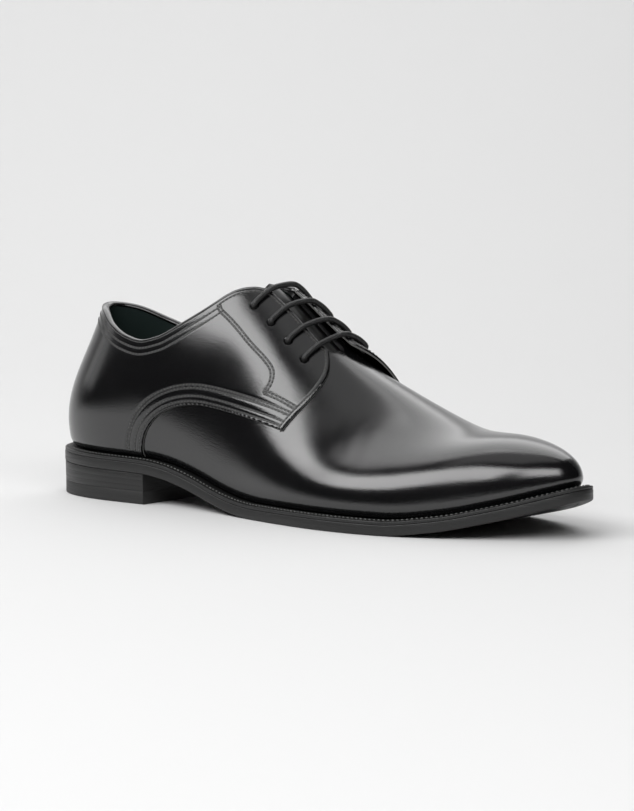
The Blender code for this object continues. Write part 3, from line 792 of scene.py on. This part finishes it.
def grid_faces(index):
    """Faces of a grid of point indices, leaving out corners that have been merged."""
    quads = np.stack([index[:-1, :-1], index[:-1, 1:], index[1:, 1:], index[1:, :-1]], -1).reshape(-1, 4)
    merged = (quads == np.roll(quads, 1, axis=1)).any(axis=1)
    faces = quads[~merged].tolist()
    for ring in quads[merged].tolist():
        corners = [corner for k, corner in enumerate(ring) if corner != ring[k - 1]]
        if len(corners) > 2:
            faces.append(corners)
    return faces


def ring_index(rings, sides, closed=False):
    """Point indices of stacked rings that each end with their first point, as a closed stack does too."""
    index = np.arange(rings * sides).reshape(rings, sides)
    return np.pad(index, ((0, int(closed)), (0, 1)), mode="wrap")


def tube_faces(rings, sides):
    """Faces of stacked rings with a cap at each end."""
    index = ring_index(rings, sides)
    return grid_faces(index) + [index[0, :-1].tolist()[::-1], index[-1, :-1].tolist()]


def open_edges(faces):
    """Edges that only one face has, in that face's direction."""
    used = set()
    for face in faces:
        used.update(zip(face, face[1:] + face[:1]))
    return [(a, b) for a, b in used if (b, a) not in used]


def close_wall(outer, inner, skin):
    """Points and faces of a wall between two skins with equal faces, and how many faces each part has."""
    count = len(outer)
    lining = [[corner + count for corner in reversed(face)] for face in skin]
    rims = [[b, a, a + count, b + count] for a, b in sorted(open_edges(skin))]
    return np.concatenate([outer, inner]), skin + lining + rims, (len(skin), len(lining), len(rims))


def thick_sheet(name, outer, inner, materials, nodes):
    """A wall between two grids, with equal points of the outer one merged and the last material inside."""
    keys = {}
    flat = outer.reshape(-1, 3)
    places = np.round(flat, MERGE_DIGITS).tolist()
    index = np.array([keys.setdefault(tuple(place), len(keys)) for place in places])
    first = np.unique(index, return_index=True)[1]
    skin = grid_faces(index.reshape(outer.shape[:2]))
    points, faces, counts = close_wall(flat[first], inner.reshape(-1, 3)[first], skin)
    slots = np.repeat([0, len(materials) - 1, 0], counts)
    return add_piece(name, points, faces, materials, nodes, slots)


def cut_panel(t_axis, v_axis, field):
    """The part of a grid in t and v where the field is over 0, cut off along 0: t, v, field and faces."""
    t, v = (axis.ravel() for axis in np.meshgrid(t_axis, v_axis, indexing="ij"))
    value = field.ravel()
    index = np.arange(len(value)).reshape(field.shape)
    a, b, c, d = index[:-1, :-1], index[1:, :-1], index[1:, 1:], index[:-1, 1:]
    halves = [np.stack(corners, -1).reshape(-1, 3) for corners in ((a, b, c), (a, c, d))]
    triangles = np.concatenate(halves)
    inner_corners = (value[triangles] > 0).sum(axis=1)
    faces = triangles[inner_corners == 3].tolist()
    cuts, cut_t, cut_v = {}, [], []

    def cut(i, j):
        """The point where the edge from i to j crosses 0."""
        key = (min(i, j), max(i, j))
        if key not in cuts:
            share = value[i] / (value[i] - value[j])
            cuts[key] = len(value) + len(cut_t)
            cut_t.append(t[i] + share * (t[j] - t[i]))
            cut_v.append(v[i] + share * (v[j] - v[i]))
        return cuts[key]

    for corners in triangles[(inner_corners == 1) | (inner_corners == 2)].tolist():
        ring = []
        for i, j in zip(corners, corners[1:] + corners[:1]):
            if value[i] > 0:
                ring.append(i)
            if (value[i] > 0) != (value[j] > 0):
                ring.append(cut(i, j))
        faces.append(ring)
    t, v = np.concatenate([t, cut_t]), np.concatenate([v, cut_v])
    value = np.concatenate([value, np.zeros(len(cut_t))])
    used = np.unique(np.concatenate([np.array(face) for face in faces]))
    renumber = np.zeros(len(t), int)
    renumber[used] = np.arange(len(used))
    faces = [renumber[face].tolist() for face in faces]
    return t[used], v[used], value[used], faces


def runs_of(keep):
    """Starts and ends of the runs of True."""
    steps = np.flatnonzero(np.diff(np.concatenate([[0], keep.astype(int), [0]])))
    return list(zip(steps[::2], steps[1::2]))


def eyelet_places(side):
    """t and v of the eyelets."""
    x, half_gap = (EYELETS[:, :2] if side == LATERAL else EYELETS[:, 2:]).T
    t = t_at(x)
    return t, v_beside(t, side, half_gap)


def eyestay_lines(side):
    """The seam behind the eyelets as two curves: down from the collar, then forward."""
    lines = []
    for stretch in EYESTAYS[side]:
        x, z = np.array(stretch).T
        knots = np.arange(len(x), dtype=float)
        at = np.linspace(0, knots[-1], EYESTAY_SAMPLES * len(x))
        t, v = on_side(spline(knots, x, at), spline(knots, z, at), side)
        lines.append(resample(t, v, side, CURVE_STEP))
    return lines


EYESTAY_LINES = {side: eyestay_lines(side) for side in SIDES}


def soft_line(points, places, width):
    """A smooth swell of height 1 along a line of places, with soft ends."""
    spacing = np.linalg.norm(np.diff(places, axis=0), axis=1).mean()
    squares = ((points[..., None, :] - places) ** 2).sum(axis=-1)
    return np.exp(-squares / width**2).sum(axis=-1) * spacing / (width * np.sqrt(np.pi))


def crease_lines(side):
    """Places along each crease."""
    lines = []
    for start, end, _, _ in CREASES:
        x, z = np.linspace(start, end, CREASE_POINTS).T
        lines.append(last_point(*on_side(x, z, side), side))
    return lines


CREASE_LINES = {side: crease_lines(side) for side in SIDES}


def creased(points, side):
    """How far the creases raise points of the last."""
    lift = np.zeros(points.shape[:-1])
    for places, (_, _, width, height) in zip(CREASE_LINES[side], CREASES):
        lift += height * soft_line(points, places, width)
    return lift


def body(t, v, side):
    """How far the quarter stands off the last: open facing, swell along the seam, creases and tuck."""
    places = last_point(*EYESTAY_LINES[side][0], side)[::SOFT_STEP]
    points = last_point(t, v, side)
    ridge = RIDGE_HEIGHT * soft_line(points, places[places[:, 0] > RIDGE_TOP_X], RIDGE_WIDTH)
    return flap_lift(t, v, side) + ridge + creased(points, side) - tuck(t, v, side)


def seam_rows(side, edges, ring):
    """Each row of stitches on the quarter: a curve and the depth of its trough."""
    lower, front, top = edges
    ahead_t = np.linspace(lower[0][0] - LOWER_AHEAD, lower[0][0], AHEAD_SAMPLES)[:-1]
    long_t = np.concatenate([ahead_t, lower[0]])
    long_v = np.concatenate([quarter_limit(ahead_t, side), lower[1]])
    long_lower = resample(long_t, long_v, side, CURVE_STEP)
    rows = [(beside(*long_lower, side, distance), FRONT_ROW, DEEP_TROUGH) for distance in LOWER_ROWS]
    rows.append((beside(*front, side, -FRONT_ROW), ROW_CLEARANCE * FRONT_ROW, MIDDLE_TROUGH))
    collar = last_point(*top, side)[:, 0] < COLLAR_ROWS_FRONT_X
    throat = top[0][~collar], top[1][~collar]
    rows.append((beside(*throat, side, -THROAT_ROW), ROW_CLEARANCE * THROAT_ROW, LOW_TROUGH))
    collar = top[0][collar], top[1][collar]
    for distance in COLLAR_ROWS:
        rows.append((beside(*collar, side, -distance), ROW_CLEARANCE * distance, LOW_TROUGH))
    for line in EYESTAY_LINES[side]:
        for distance in (-EYESTAY_HALF_GAP, EYESTAY_HALF_GAP):
            rows.append((beside(*line, side, distance), THROAT_ROW, MIDDLE_TROUGH))
    rim = np.concatenate([last_point(*front, side), last_point(*top, side)])
    kept = []
    for (t, v), clearance, depth in rows:
        clear = nearest(rim, last_point(t, v, side)) > clearance
        for start, end in runs_of(inside(t, v, *ring) & clear):
            if end - start > SHORTEST_ROW / CURVE_STEP:
                kept.append((t[start:end], v[start:end], depth))
    return kept


def make_quarter(name, side, materials, node):
    """An overlay with rounded cut edges, eyelets and troughs under its seams. Gives its rows of stitches."""
    edges = quarter_edges(side)
    lower, front, top = edges
    back_t = lower[0][-1], 1 + RING_MARGIN, 1 + RING_MARGIN
    back_v = -RING_MARGIN, -RING_MARGIN, top[1][-1]
    ring = [
        np.concatenate([lower[k], back, top[k][::-1], front[k][::-1]])
        for k, back in enumerate((back_t, back_v))
    ]
    rows = seam_rows(side, edges, ring)
    t_axis = np.linspace(front[0].min() - RING_MARGIN, 1, QUARTER_COLUMNS_FINE)
    v_axis = np.linspace(0, ring[1].max() + RING_MARGIN, QUARTER_ROWS_FINE)
    grid = last_point(t_axis[:, None], v_axis[None, :], side)
    rim = np.concatenate([last_point(*edge, side) for edge in edges])
    away = nearest(rim, grid.reshape(-1, 3)).reshape(grid.shape[:2])
    within = inside(*np.meshgrid(t_axis, v_axis, indexing="ij"), *ring)
    field = np.where(within, away, -away)
    for hole in last_point(*eyelet_places(side), side):
        field = np.minimum(field, np.linalg.norm(grid - hole, axis=-1) - EYELET_RADIUS)
    t, v, field, faces = cut_panel(t_axis, v_axis, field)
    trough, seam = np.zeros(len(t)), np.zeros(len(t))
    heel_seam = np.ones(ROOT_SAMPLES), np.linspace(0, 1, ROOT_SAMPLES), DEEP_TROUGH
    for depth in (DEEP_TROUGH, MIDDLE_TROUGH, LOW_TROUGH):
        seams = [last_point(*row[:2], side) for row in rows + [heel_seam] if row[2] == depth]
        distance = nearest(np.concatenate(seams), last_point(t, v, side))
        trough = np.maximum(trough, depth * np.exp(-(distance / TROUGH_WIDTH) ** 2))
        seam = np.maximum(seam, np.exp(-(distance / SEAM_WIDTH) ** 2))
    rounding = np.sqrt(1 - (1 - np.clip(field / CUT_EDGE_ROUND, 0, 1)) ** 2)
    off = body(t, v, side)
    lift = CUT_EDGE_LIP + (QUARTER_LIFT - CUT_EDGE_LIP) * rounding - trough
    outer = over_last(t, v, side, off + lift)
    inner = over_last(t, v, side, off - QUARTER_SINK)
    if side == LATERAL:
        faces = [face[::-1] for face in faces]
    points, faces, counts = close_wall(outer, inner, faces)
    # The rims take the lighter cut-edge grey, partly a painted highlight along the edge.
    slots = np.repeat([0, 0, 1], counts)
    piece = add_piece(name, points, faces, materials, (node,), slots)
    marks = piece.data.attributes.new(SEAM_MARK, "FLOAT", "POINT")
    marks.data.foreach_set("value", np.concatenate([seam, 0 * seam]))
    return rows


def add_stitches(name, seats, material):
    """A short thread at each seat (place, run, outward direction), whose ends dip into the leather."""
    angle = np.linspace(0, 2 * np.pi, STITCH_SIDES, endpoint=False)
    share, girth = np.array(STITCH_RINGS).T
    template = np.stack([
        np.repeat(share * STITCH_LENGTH / 2, STITCH_SIDES),
        (girth[:, None] * np.cos(angle) * STITCH_RADIUS).ravel(),
        (girth[:, None] * np.sin(angle) * STITCH_RADIUS - STITCH_DIP * share[:, None] ** 2).ravel(),
    ], -1)
    shape = tube_faces(len(share), STITCH_SIDES)
    places, run, normal = seats
    axes = run, np.cross(normal, run), normal
    cloud = sum(template[None, :, k, None] * axis[:, None] for k, axis in enumerate(axes))
    points = (places[:, None] + cloud).reshape(-1, 3)
    faces = []
    for start in range(0, len(points), len(template)):
        faces += [[corner + start for corner in face] for face in shape]
    return add_piece(name, points, faces, [material])


def make_stitches(name, rows, side, material):
    """The stitches along the seams of a quarter."""
    seats = []
    for t, v, depth in rows:
        t, v = resample(t, v, side, STITCH_PITCH)
        points, run, normal = directions(t, v, side)
        lift = QUARTER_LIFT - depth + STITCH_SEAT + body(t, v, side)
        seats.append((points + lift[:, None] * normal, run, normal))
    add_stitches(name, [np.concatenate(parts) for parts in zip(*seats)], material)


def make_welt_stitches(material):
    """The row of stitches on the welt's slope, all round the shoe."""
    t = np.linspace(0, 1, WELT_ROW_SAMPLES + 1)
    loop = along_sole(outline(t, -WELT_ROW_OUT), WELT_ROW_RISE)
    loop = np.concatenate([loop, loop[:1]])
    along = lengths(loop)
    at = np.linspace(0, along[-1], int(along[-1] / WELT_STITCH_PITCH), endpoint=False)
    places = np.stack([np.interp(at, along, loop[:, k]) for k in range(3)], -1)
    run = unit(np.roll(places, -1, axis=0) - np.roll(places, 1, axis=0))
    up = unit(np.array((0.0, 0.0, 1.0)) - run[:, 2:] * run)
    add_stitches("welt_stitches", (places, run, up), material)


def make_upper(materials):
    """The vamp, toe and back part as one wall, with the lining on its inside."""
    t = np.linspace(0, 1, UPPER_COLUMNS + 1)
    share = np.linspace(0, 1, UPPER_ROWS + 1)
    skins, linings = [], []
    for side in SIDES:
        v = top_limit(t, side, throat_gap)[:, None] * share
        relief = creased(last_point(t[:, None], v, side), side) - tuck(t[:, None], v, side)
        skins.append(over_last(t[:, None], v, side, relief))
        linings.append(over_last(t[:, None], v, side, -WALL))
    outer = np.concatenate([skins[0], skins[1][-2::-1]])
    inner = np.concatenate([linings[0], linings[1][-2::-1]])
    thick_sheet("upper_shell", outer, inner, materials, ("upper",))


def make_tongue(materials):
    """The tongue under the facings, wider at its top."""
    t = np.linspace(t_at(TONGUE_FRONT_X), t_at(TONGUE_TOP_X), TONGUE_COLUMNS + 1)
    share = np.linspace(0, 1, TONGUE_ROWS + 1)
    depth = TONGUE_DEPTH + np.linspace(0, TONGUE_FLARE, len(t))
    edge_z = (column("top_z", t) - depth)[:, None]

    def past_edge(point):
        return point[..., 2] - edge_z

    skins, linings = [], []
    for side in SIDES:
        low = first_v(t, side, past_edge)[:, None]
        v = low + (1 - low) * share
        skins.append(over_last(t[:, None], v, side, -WALL - TONGUE_GAP))
        linings.append(over_last(t[:, None], v, side, -WALL - TONGUE_GAP - TONGUE_THICK))
    outer = np.concatenate([skins[0], skins[1][:, -2::-1]], axis=1)
    inner = np.concatenate([linings[0], linings[1][:, -2::-1]], axis=1)
    thick_sheet("tongue_leather", outer, inner, materials, ("tongue",))


def tube(path, across, up, profile, swell=1.0):
    """Points and faces of a tube with a closed profile, (across, up) pairs, swept along a path."""
    profile = np.asarray(profile)
    section = profile[None, :, :1] * across[:, None] + profile[None, :, 1:] * up[:, None]
    points = path[:, None] + np.asarray(swell)[..., None] * section
    return points.reshape(-1, 3), tube_faces(len(path), len(profile))


def make_collar(material):
    """The rolled edge round the collar, from one facing's top corner to the other's."""
    paths, outs, ups = [], [], []
    for side in SIDES:
        t = np.linspace(t_at(COLLAR_START_X), 1, COLLAR_POINTS)
        t, v = resample(t, top_limit(t, side, facing_gap), side, COLLAR_STEP)
        points, run, normal = directions(t, v, side)
        up = side * np.cross(normal, run)
        order = slice(None) if side == LATERAL else slice(-2, None, -1)
        out = ROLL_OUT + flap_lift(t, v, side)[:, None]
        paths.append((points + out * normal + ROLL_UP * up)[order])
        outs.append(normal[order])
        ups.append(up[order])
    angle = np.linspace(0, 2 * np.pi, ROLL_SIDES, endpoint=False)
    profile = np.stack([ROLL_HALF_WIDTH * np.cos(angle), ROLL_HALF_HEIGHT * np.sin(angle)], -1)
    path, out, up = np.concatenate(paths), np.concatenate(outs), np.concatenate(ups)
    taper = np.clip(np.minimum(np.arange(len(path)), np.arange(len(path))[::-1]) / ROLL_TAPER, 0, 1)
    taper = np.sqrt(1 - (1 - taper) ** 2)[:, None] * (1 - ROLL_END) + ROLL_END
    points, faces = tube(path, out * taper, up * taper, profile)
    return add_piece("collar_roll", points, faces, [material])


def smooth_path(points, count):
    """A smooth curve through points, with even parameters."""
    knots = lengths(points)
    at = np.linspace(0, knots[-1], count)
    return np.stack([spline(knots, points[:, k], at) for k in range(3)], -1)


def make_laces(material):
    """Four bars of one lace, each coming up through an eyelet and going down through the one across."""
    holes = {side: eyelet_places(side) for side in SIDES}
    for number, eyelets in enumerate(EYELETS, start=1):
        ends = {LATERAL: eyelets[:2], MEDIAL: eyelets[2:]}
        runs = []
        for side in SIDES:
            (x, half_gap), (far_x, far_gap) = ends[side], ends[-side]
            away = np.linspace(half_gap - LACE_TURN, FACING_GAP[side], LACE_POINTS)
            bar_t = t_at(x + (far_x - x) * (half_gap - away) / (half_gap + far_gap))
            bar_v = v_beside(bar_t, side, away)
            over = over_last(bar_t, bar_v, side, LACE_LIFT + flap_lift(bar_t, bar_v, side))
            hole_t, hole_v = (np.full(len(LACE_DIVE), axis[number - 1]) for axis in holes[side])
            down = over_last(hole_t, hole_v, side, np.array(LACE_DIVE) + flap_lift(hole_t, hole_v, side))
            runs.append(np.concatenate([down, over]))
        crest = (runs[0][-1:] + runs[1][-1:]) / 2 + (0.0, 0.0, LACE_ARCH)
        path = smooth_path(np.concatenate([runs[0], crest, runs[1][::-1]]), LACE_STEPS)
        run = unit(np.gradient(path, axis=0))
        across = unit(np.array((1.0, 0.0, 0.0)) - run[:, :1] * run)
        angle = np.linspace(0, 2 * np.pi, LACE_SIDES, endpoint=False)
        profile = LACE_DIAMETER / 2 * np.stack([np.cos(angle), np.sin(angle)], -1)
        turn, twist = BRAID_STRANDS / 2 * angle, np.pi * lengths(path)[:, None] / BRAID_PITCH
        swell = 1 + BRAID_DEPTH * np.cos(turn + twist) * np.cos(turn - twist)
        points, faces = tube(path, across, np.cross(run, across), profile, swell)
        add_piece(f"lace_{number}", points, faces, [material], (f"lace_bar_{number}",))


def cap_faces(start, count, pointed, flip):
    """Strips across a loop, between its lateral and medial points, with one or two points at the toe end."""
    pairs = [(i, (count - i) % count if pointed else count - 1 - i) for i in range(count // 2 + 1)]
    faces = []
    for (a, b), (c, d) in zip(pairs, pairs[1:]):
        corners = list(dict.fromkeys([a, c, d, b]))
        if len(corners) > 2:
            face = [start + corner for corner in corners]
            faces.append(face[::-1] if flip else face)
    return faces


def plate(name, loops, pointed, materials, node):
    """A solid plate from stacked loops, bottom to top."""
    count = len(loops[0])
    faces = grid_faces(ring_index(len(loops), count).T)
    faces += cap_faces(0, count, pointed, False)
    faces += cap_faces((len(loops) - 1) * count, count, pointed, True)
    return add_piece(name, np.concatenate(loops), faces, materials, (node,))


def make_sole(edge, welt_top_painted_shade, top_piece, lining):
    """Outsole, welt, heel block, top piece and insole, with rounded and grooved edges."""
    t = np.linspace(0, 1, SOLE_COLUMNS + 1)

    def loop(inset, rise):
        return along_sole(outline(t, inset), rise)

    loops = [loop(inset - ledge(t), rise) for inset, rise in OUTSOLE_EDGE]
    plate("outsole_edge", loops, True, [edge], "outsole")
    loops = [loop(WELT_WIDTH, OUTSOLE_THICK + GAP - SOLE_SEAM)]
    loops += [loop(inset - ledge(t), rise) for inset, rise in WELT_EDGE]
    loops += [loop(inset, rise) for inset, rise in WELT_CREASE]
    loops.append(loop(WELT_WIDTH, WELT_CREASE[-1][1]))
    faces = grid_faces(ring_index(len(loops), len(loops[0]), True).T)
    # The welt's top, from just inside its outer edge to the upper, takes the darker material: painted shade
    # in that crease.
    slots = np.tile(np.arange(len(loops)) >= len(WELT_EDGE), len(loops[0]))
    add_piece("welt_edge", np.concatenate(loops), faces, [edge, welt_top_painted_shade], ("welt",), slots)
    breast = t_at(BREAST_X, "x")
    heel_t = np.concatenate([[breast], t[t > breast + SLOPE_STEP]])

    def heel_loop(inset):
        plan = outline(heel_t, inset - ledge(heel_t))
        plan[[0, -1], 0] = BREAST_X
        return plan

    loops = []
    bottom = TOP_PIECE_THICK + SOLE_SEAM
    for share, groove in HEEL_LAYERS:
        plan = heel_loop(HEEL_INSET + HEEL_TAPER * (1 - share) + groove)
        top = sole_height(plan[:, 0]) - SOLE_SEAM
        loops.append(level(plan, bottom + share * (top - bottom)))
    plate("heel_stack", loops, False, [edge], "heel_block")
    loops = [level(heel_loop(HEEL_TAPER + HEEL_INSET + inset), rise) for inset, rise in TOP_PIECE_EDGE]
    plate("heel_lift", loops, False, [top_piece], "heel_top_piece")
    loops = [loop(inset, rise) for inset, rise in INSOLE_EDGE]
    plate("sock_lining", loops, True, [lining], "insole")


# Materials
def fill(tree, node, inputs):
    """Gives a node's inputs their values, or links them to other nodes' outputs."""
    for label, value in inputs.items():
        if isinstance(value, bpy.types.NodeSocket):
            tree.links.new(value, node.inputs[label])
        else:
            node.inputs[label].default_value = value


def new_material(name, colour, roughness, inputs):
    """A principled material and what is needed to add to it."""
    material = bpy.data.materials.new(name)
    material.use_nodes = True
    tree = material.node_tree
    shader = tree.nodes["Principled BSDF"]
    fill(tree, shader, {"Base Color": (*colour, 1.0), "Roughness": roughness, **inputs})
    return material, tree, shader


def add_node(tree, kind, inputs, **settings):
    """A node with its inputs and settings."""
    node = tree.nodes.new(kind)
    for label, value in settings.items():
        setattr(node, label, value)
    fill(tree, node, inputs)
    return node


def place_of(tree):
    """Where a point of the surface is, in metres."""
    return tree.nodes.new("ShaderNodeTexCoord").outputs["Object"]


def noise(tree, scale, detail=3.0, roughness=0.55):
    """Soft noise at a scale of so many cells in a metre."""
    inputs = {"Vector": place_of(tree), "Scale": scale, "Detail": detail, "Roughness": roughness}
    return add_node(tree, "ShaderNodeTexNoise", inputs).outputs["Fac"]


def spread(tree, source, low, high, start=0.3, end=0.7):
    """A source between start and end taken to between low and high."""
    inputs = {"Value": source, "From Min": start, "From Max": end, "To Min": low, "To Max": high}
    return add_node(tree, "ShaderNodeMapRange", inputs).outputs["Result"]


def add_bump(tree, height, distance, strength, **below):
    """A bump from a height, over another one that is given as Normal."""
    inputs = {"Height": height, "Strength": strength, "Distance": distance, **below}
    return add_node(tree, "ShaderNodeBump", inputs).outputs["Normal"]


def leather(name, colour, rough_low, rough_high, grain, inputs):
    """Polished leather: fine pores over soft unevenness, with a roughness that varies a little."""
    material, tree, shader = new_material(name, colour, rough_low, inputs)
    seam = add_node(tree, "ShaderNodeAttribute", {}, attribute_name=SEAM_MARK).outputs["Fac"]
    uneven = spread(tree, noise(tree, UNEVEN_SCALE), rough_low, rough_high)
    choices = {0: uneven, 1: spread(tree, seam, 0.0, SEAM_ROUGHNESS)}
    matt = add_node(tree, "ShaderNodeMath", choices, operation="MAXIMUM").outputs["Value"]
    cells = {"Vector": place_of(tree), "Scale": PORE_SCALE, "Smoothness": PORE_SMOOTHNESS}
    pores = add_node(tree, "ShaderNodeTexVoronoi", cells, feature="SMOOTH_F1").outputs["Distance"]
    soft = add_bump(tree, noise(tree, SOFT_SCALE, detail=0.0), SOFT_DEPTH, SOFT_STRENGTH * grain)
    relief = add_bump(tree, pores, PORE_DEPTH, PORE_STRENGTH * grain, Normal=soft)
    fill(tree, shader, {"Roughness": matt, "Normal": relief})
    return material


def edge_leather(name, colour, roughness):
    """Stacked and inked sole leather: fine level lines and a matt sheen."""
    material, tree, shader = new_material(name, colour, roughness, {})
    stretch = add_node(tree, "ShaderNodeMapping", {"Vector": place_of(tree), "Scale": LINE_SCALES})
    inputs = {"Vector": stretch.outputs["Vector"], "Scale": 1.0, "Detail": LINE_DETAIL}
    lines = add_node(tree, "ShaderNodeTexNoise", inputs).outputs["Fac"]
    matt = spread(tree, lines, roughness - LINE_GLOSS, roughness + LINE_MATT)
    fill(tree, shader, {"Roughness": matt, "Normal": add_bump(tree, lines, LINE_DEPTH, LINE_STRENGTH)})
    return material


def thread(name, colour, roughness, specular):
    """Twisted or braided thread."""
    material, tree, shader = new_material(name, colour, roughness, {"Specular IOR Level": specular})
    inputs = {"Vector": place_of(tree), "Scale": WEAVE_SCALE}
    weave = add_node(tree, "ShaderNodeTexVoronoi", inputs, feature="F1").outputs["Distance"]
    fill(tree, shader, {"Normal": add_bump(tree, weave, WEAVE_DEPTH, WEAVE_STRENGTH)})
    return material


# Stage
def add_light(name, azimuth, elevation, distance, width, height, radiance):
    """A soft rectangular light that faces the shoe."""
    azimuth, elevation = np.radians(azimuth), np.radians(elevation)
    level_part = distance * np.cos(elevation)
    offset = (level_part * np.cos(azimuth), level_part * np.sin(azimuth), distance * np.sin(elevation))
    data = bpy.data.lights.new(name, "AREA")
    data.shape = "RECTANGLE"
    data.size, data.size_y = width, height
    data.energy = np.pi * width * height * radiance
    light = bpy.data.objects.new(name, data)
    light.location = Vector(LIGHT_AIM) + Vector(offset)
    light.rotation_euler = (-Vector(offset)).to_track_quat("-Z", "Y").to_euler()
    bpy.context.collection.objects.link(light)


def make_stage():
    """A pale floor that sweeps up behind the shoe, soft lights, and the camera."""
    forward = np.array(VIEW_RUN)
    sideways = np.array((forward[1], -forward[0]))
    profile = [(-SWEEP_FRONT, 0.0), (SWEEP_BACK - SWEEP_RADIUS, 0.0)]
    for angle in np.linspace(0, np.pi / 2, SWEEP_STEPS + 1)[1:]:
        along = SWEEP_BACK - SWEEP_RADIUS + SWEEP_RADIUS * np.sin(angle)
        profile.append((along, SWEEP_RADIUS * (1 - np.cos(angle))))
    profile.append((SWEEP_BACK, SWEEP_TOP))
    rows = []
    for along, height in profile:
        for across in (-SWEEP_HALF_WIDTH, SWEEP_HALF_WIDTH):
            rows.append((*(along * forward + across * sideways), height))
    faces = [(2 * k, 2 * k + 1, 2 * k + 3, 2 * k + 2) for k in range(len(profile) - 1)]
    mesh = bpy.data.meshes.new("floor")
    mesh.from_pydata(rows, [], faces)
    mesh.shade_smooth()
    mesh.materials.append(new_material("floor_paper", FLOOR_COLOUR, FLOOR_ROUGHNESS, {})[0])
    floor = bpy.data.objects.new("floor", mesh)
    bpy.context.collection.objects.link(floor)
    for values in LIGHTS:
        add_light(*values)
    world = bpy.data.worlds.new("studio")
    world.use_nodes = True
    background = world.node_tree.nodes["Background"]
    background.inputs["Color"].default_value = (*WORLD_COLOUR, 1.0)
    background.inputs["Strength"].default_value = WORLD_STRENGTH
    bpy.context.scene.world = world
    bpy.context.scene.view_settings.view_transform = "Standard"
    data = bpy.data.cameras.new("camera")
    data.lens = CAMERA_LENS
    camera = bpy.data.objects.new("camera", data)
    camera.location = CAMERA_PLACE
    camera.rotation_euler = (Vector(CAMERA_AIM) - Vector(CAMERA_PLACE)).to_track_quat("-Z", "Y").to_euler()
    bpy.context.collection.objects.link(camera)
    bpy.context.scene.camera = camera


def dress():
    """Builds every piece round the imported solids."""
    make_stage()
    upper, lining, welt_top_painted_shade, tongue, cut = [leather(name, *values) for name, values in LEATHERS.items()]
    edge, top_piece = [edge_leather(name, *values) for name, values in EDGES.items()]
    lace, stitch = [thread(name, *values) for name, values in THREADS.items()]
    make_sole(edge, welt_top_painted_shade, top_piece, lining)
    make_upper([upper, lining])
    make_tongue([tongue, lining])
    for quarter, side in (("quarter_lateral", LATERAL), ("quarter_medial", MEDIAL)):
        # cut is the lighter grey of the quarters' rims, partly a painted highlight.
        rows = make_quarter(f"{quarter}_leather", side, [upper, cut], quarter)
        make_stitches(f"{quarter}_stitches", rows, side, stitch)
    make_welt_stitches(stitch)
    make_collar(upper)
    make_laces(lace)


dress()
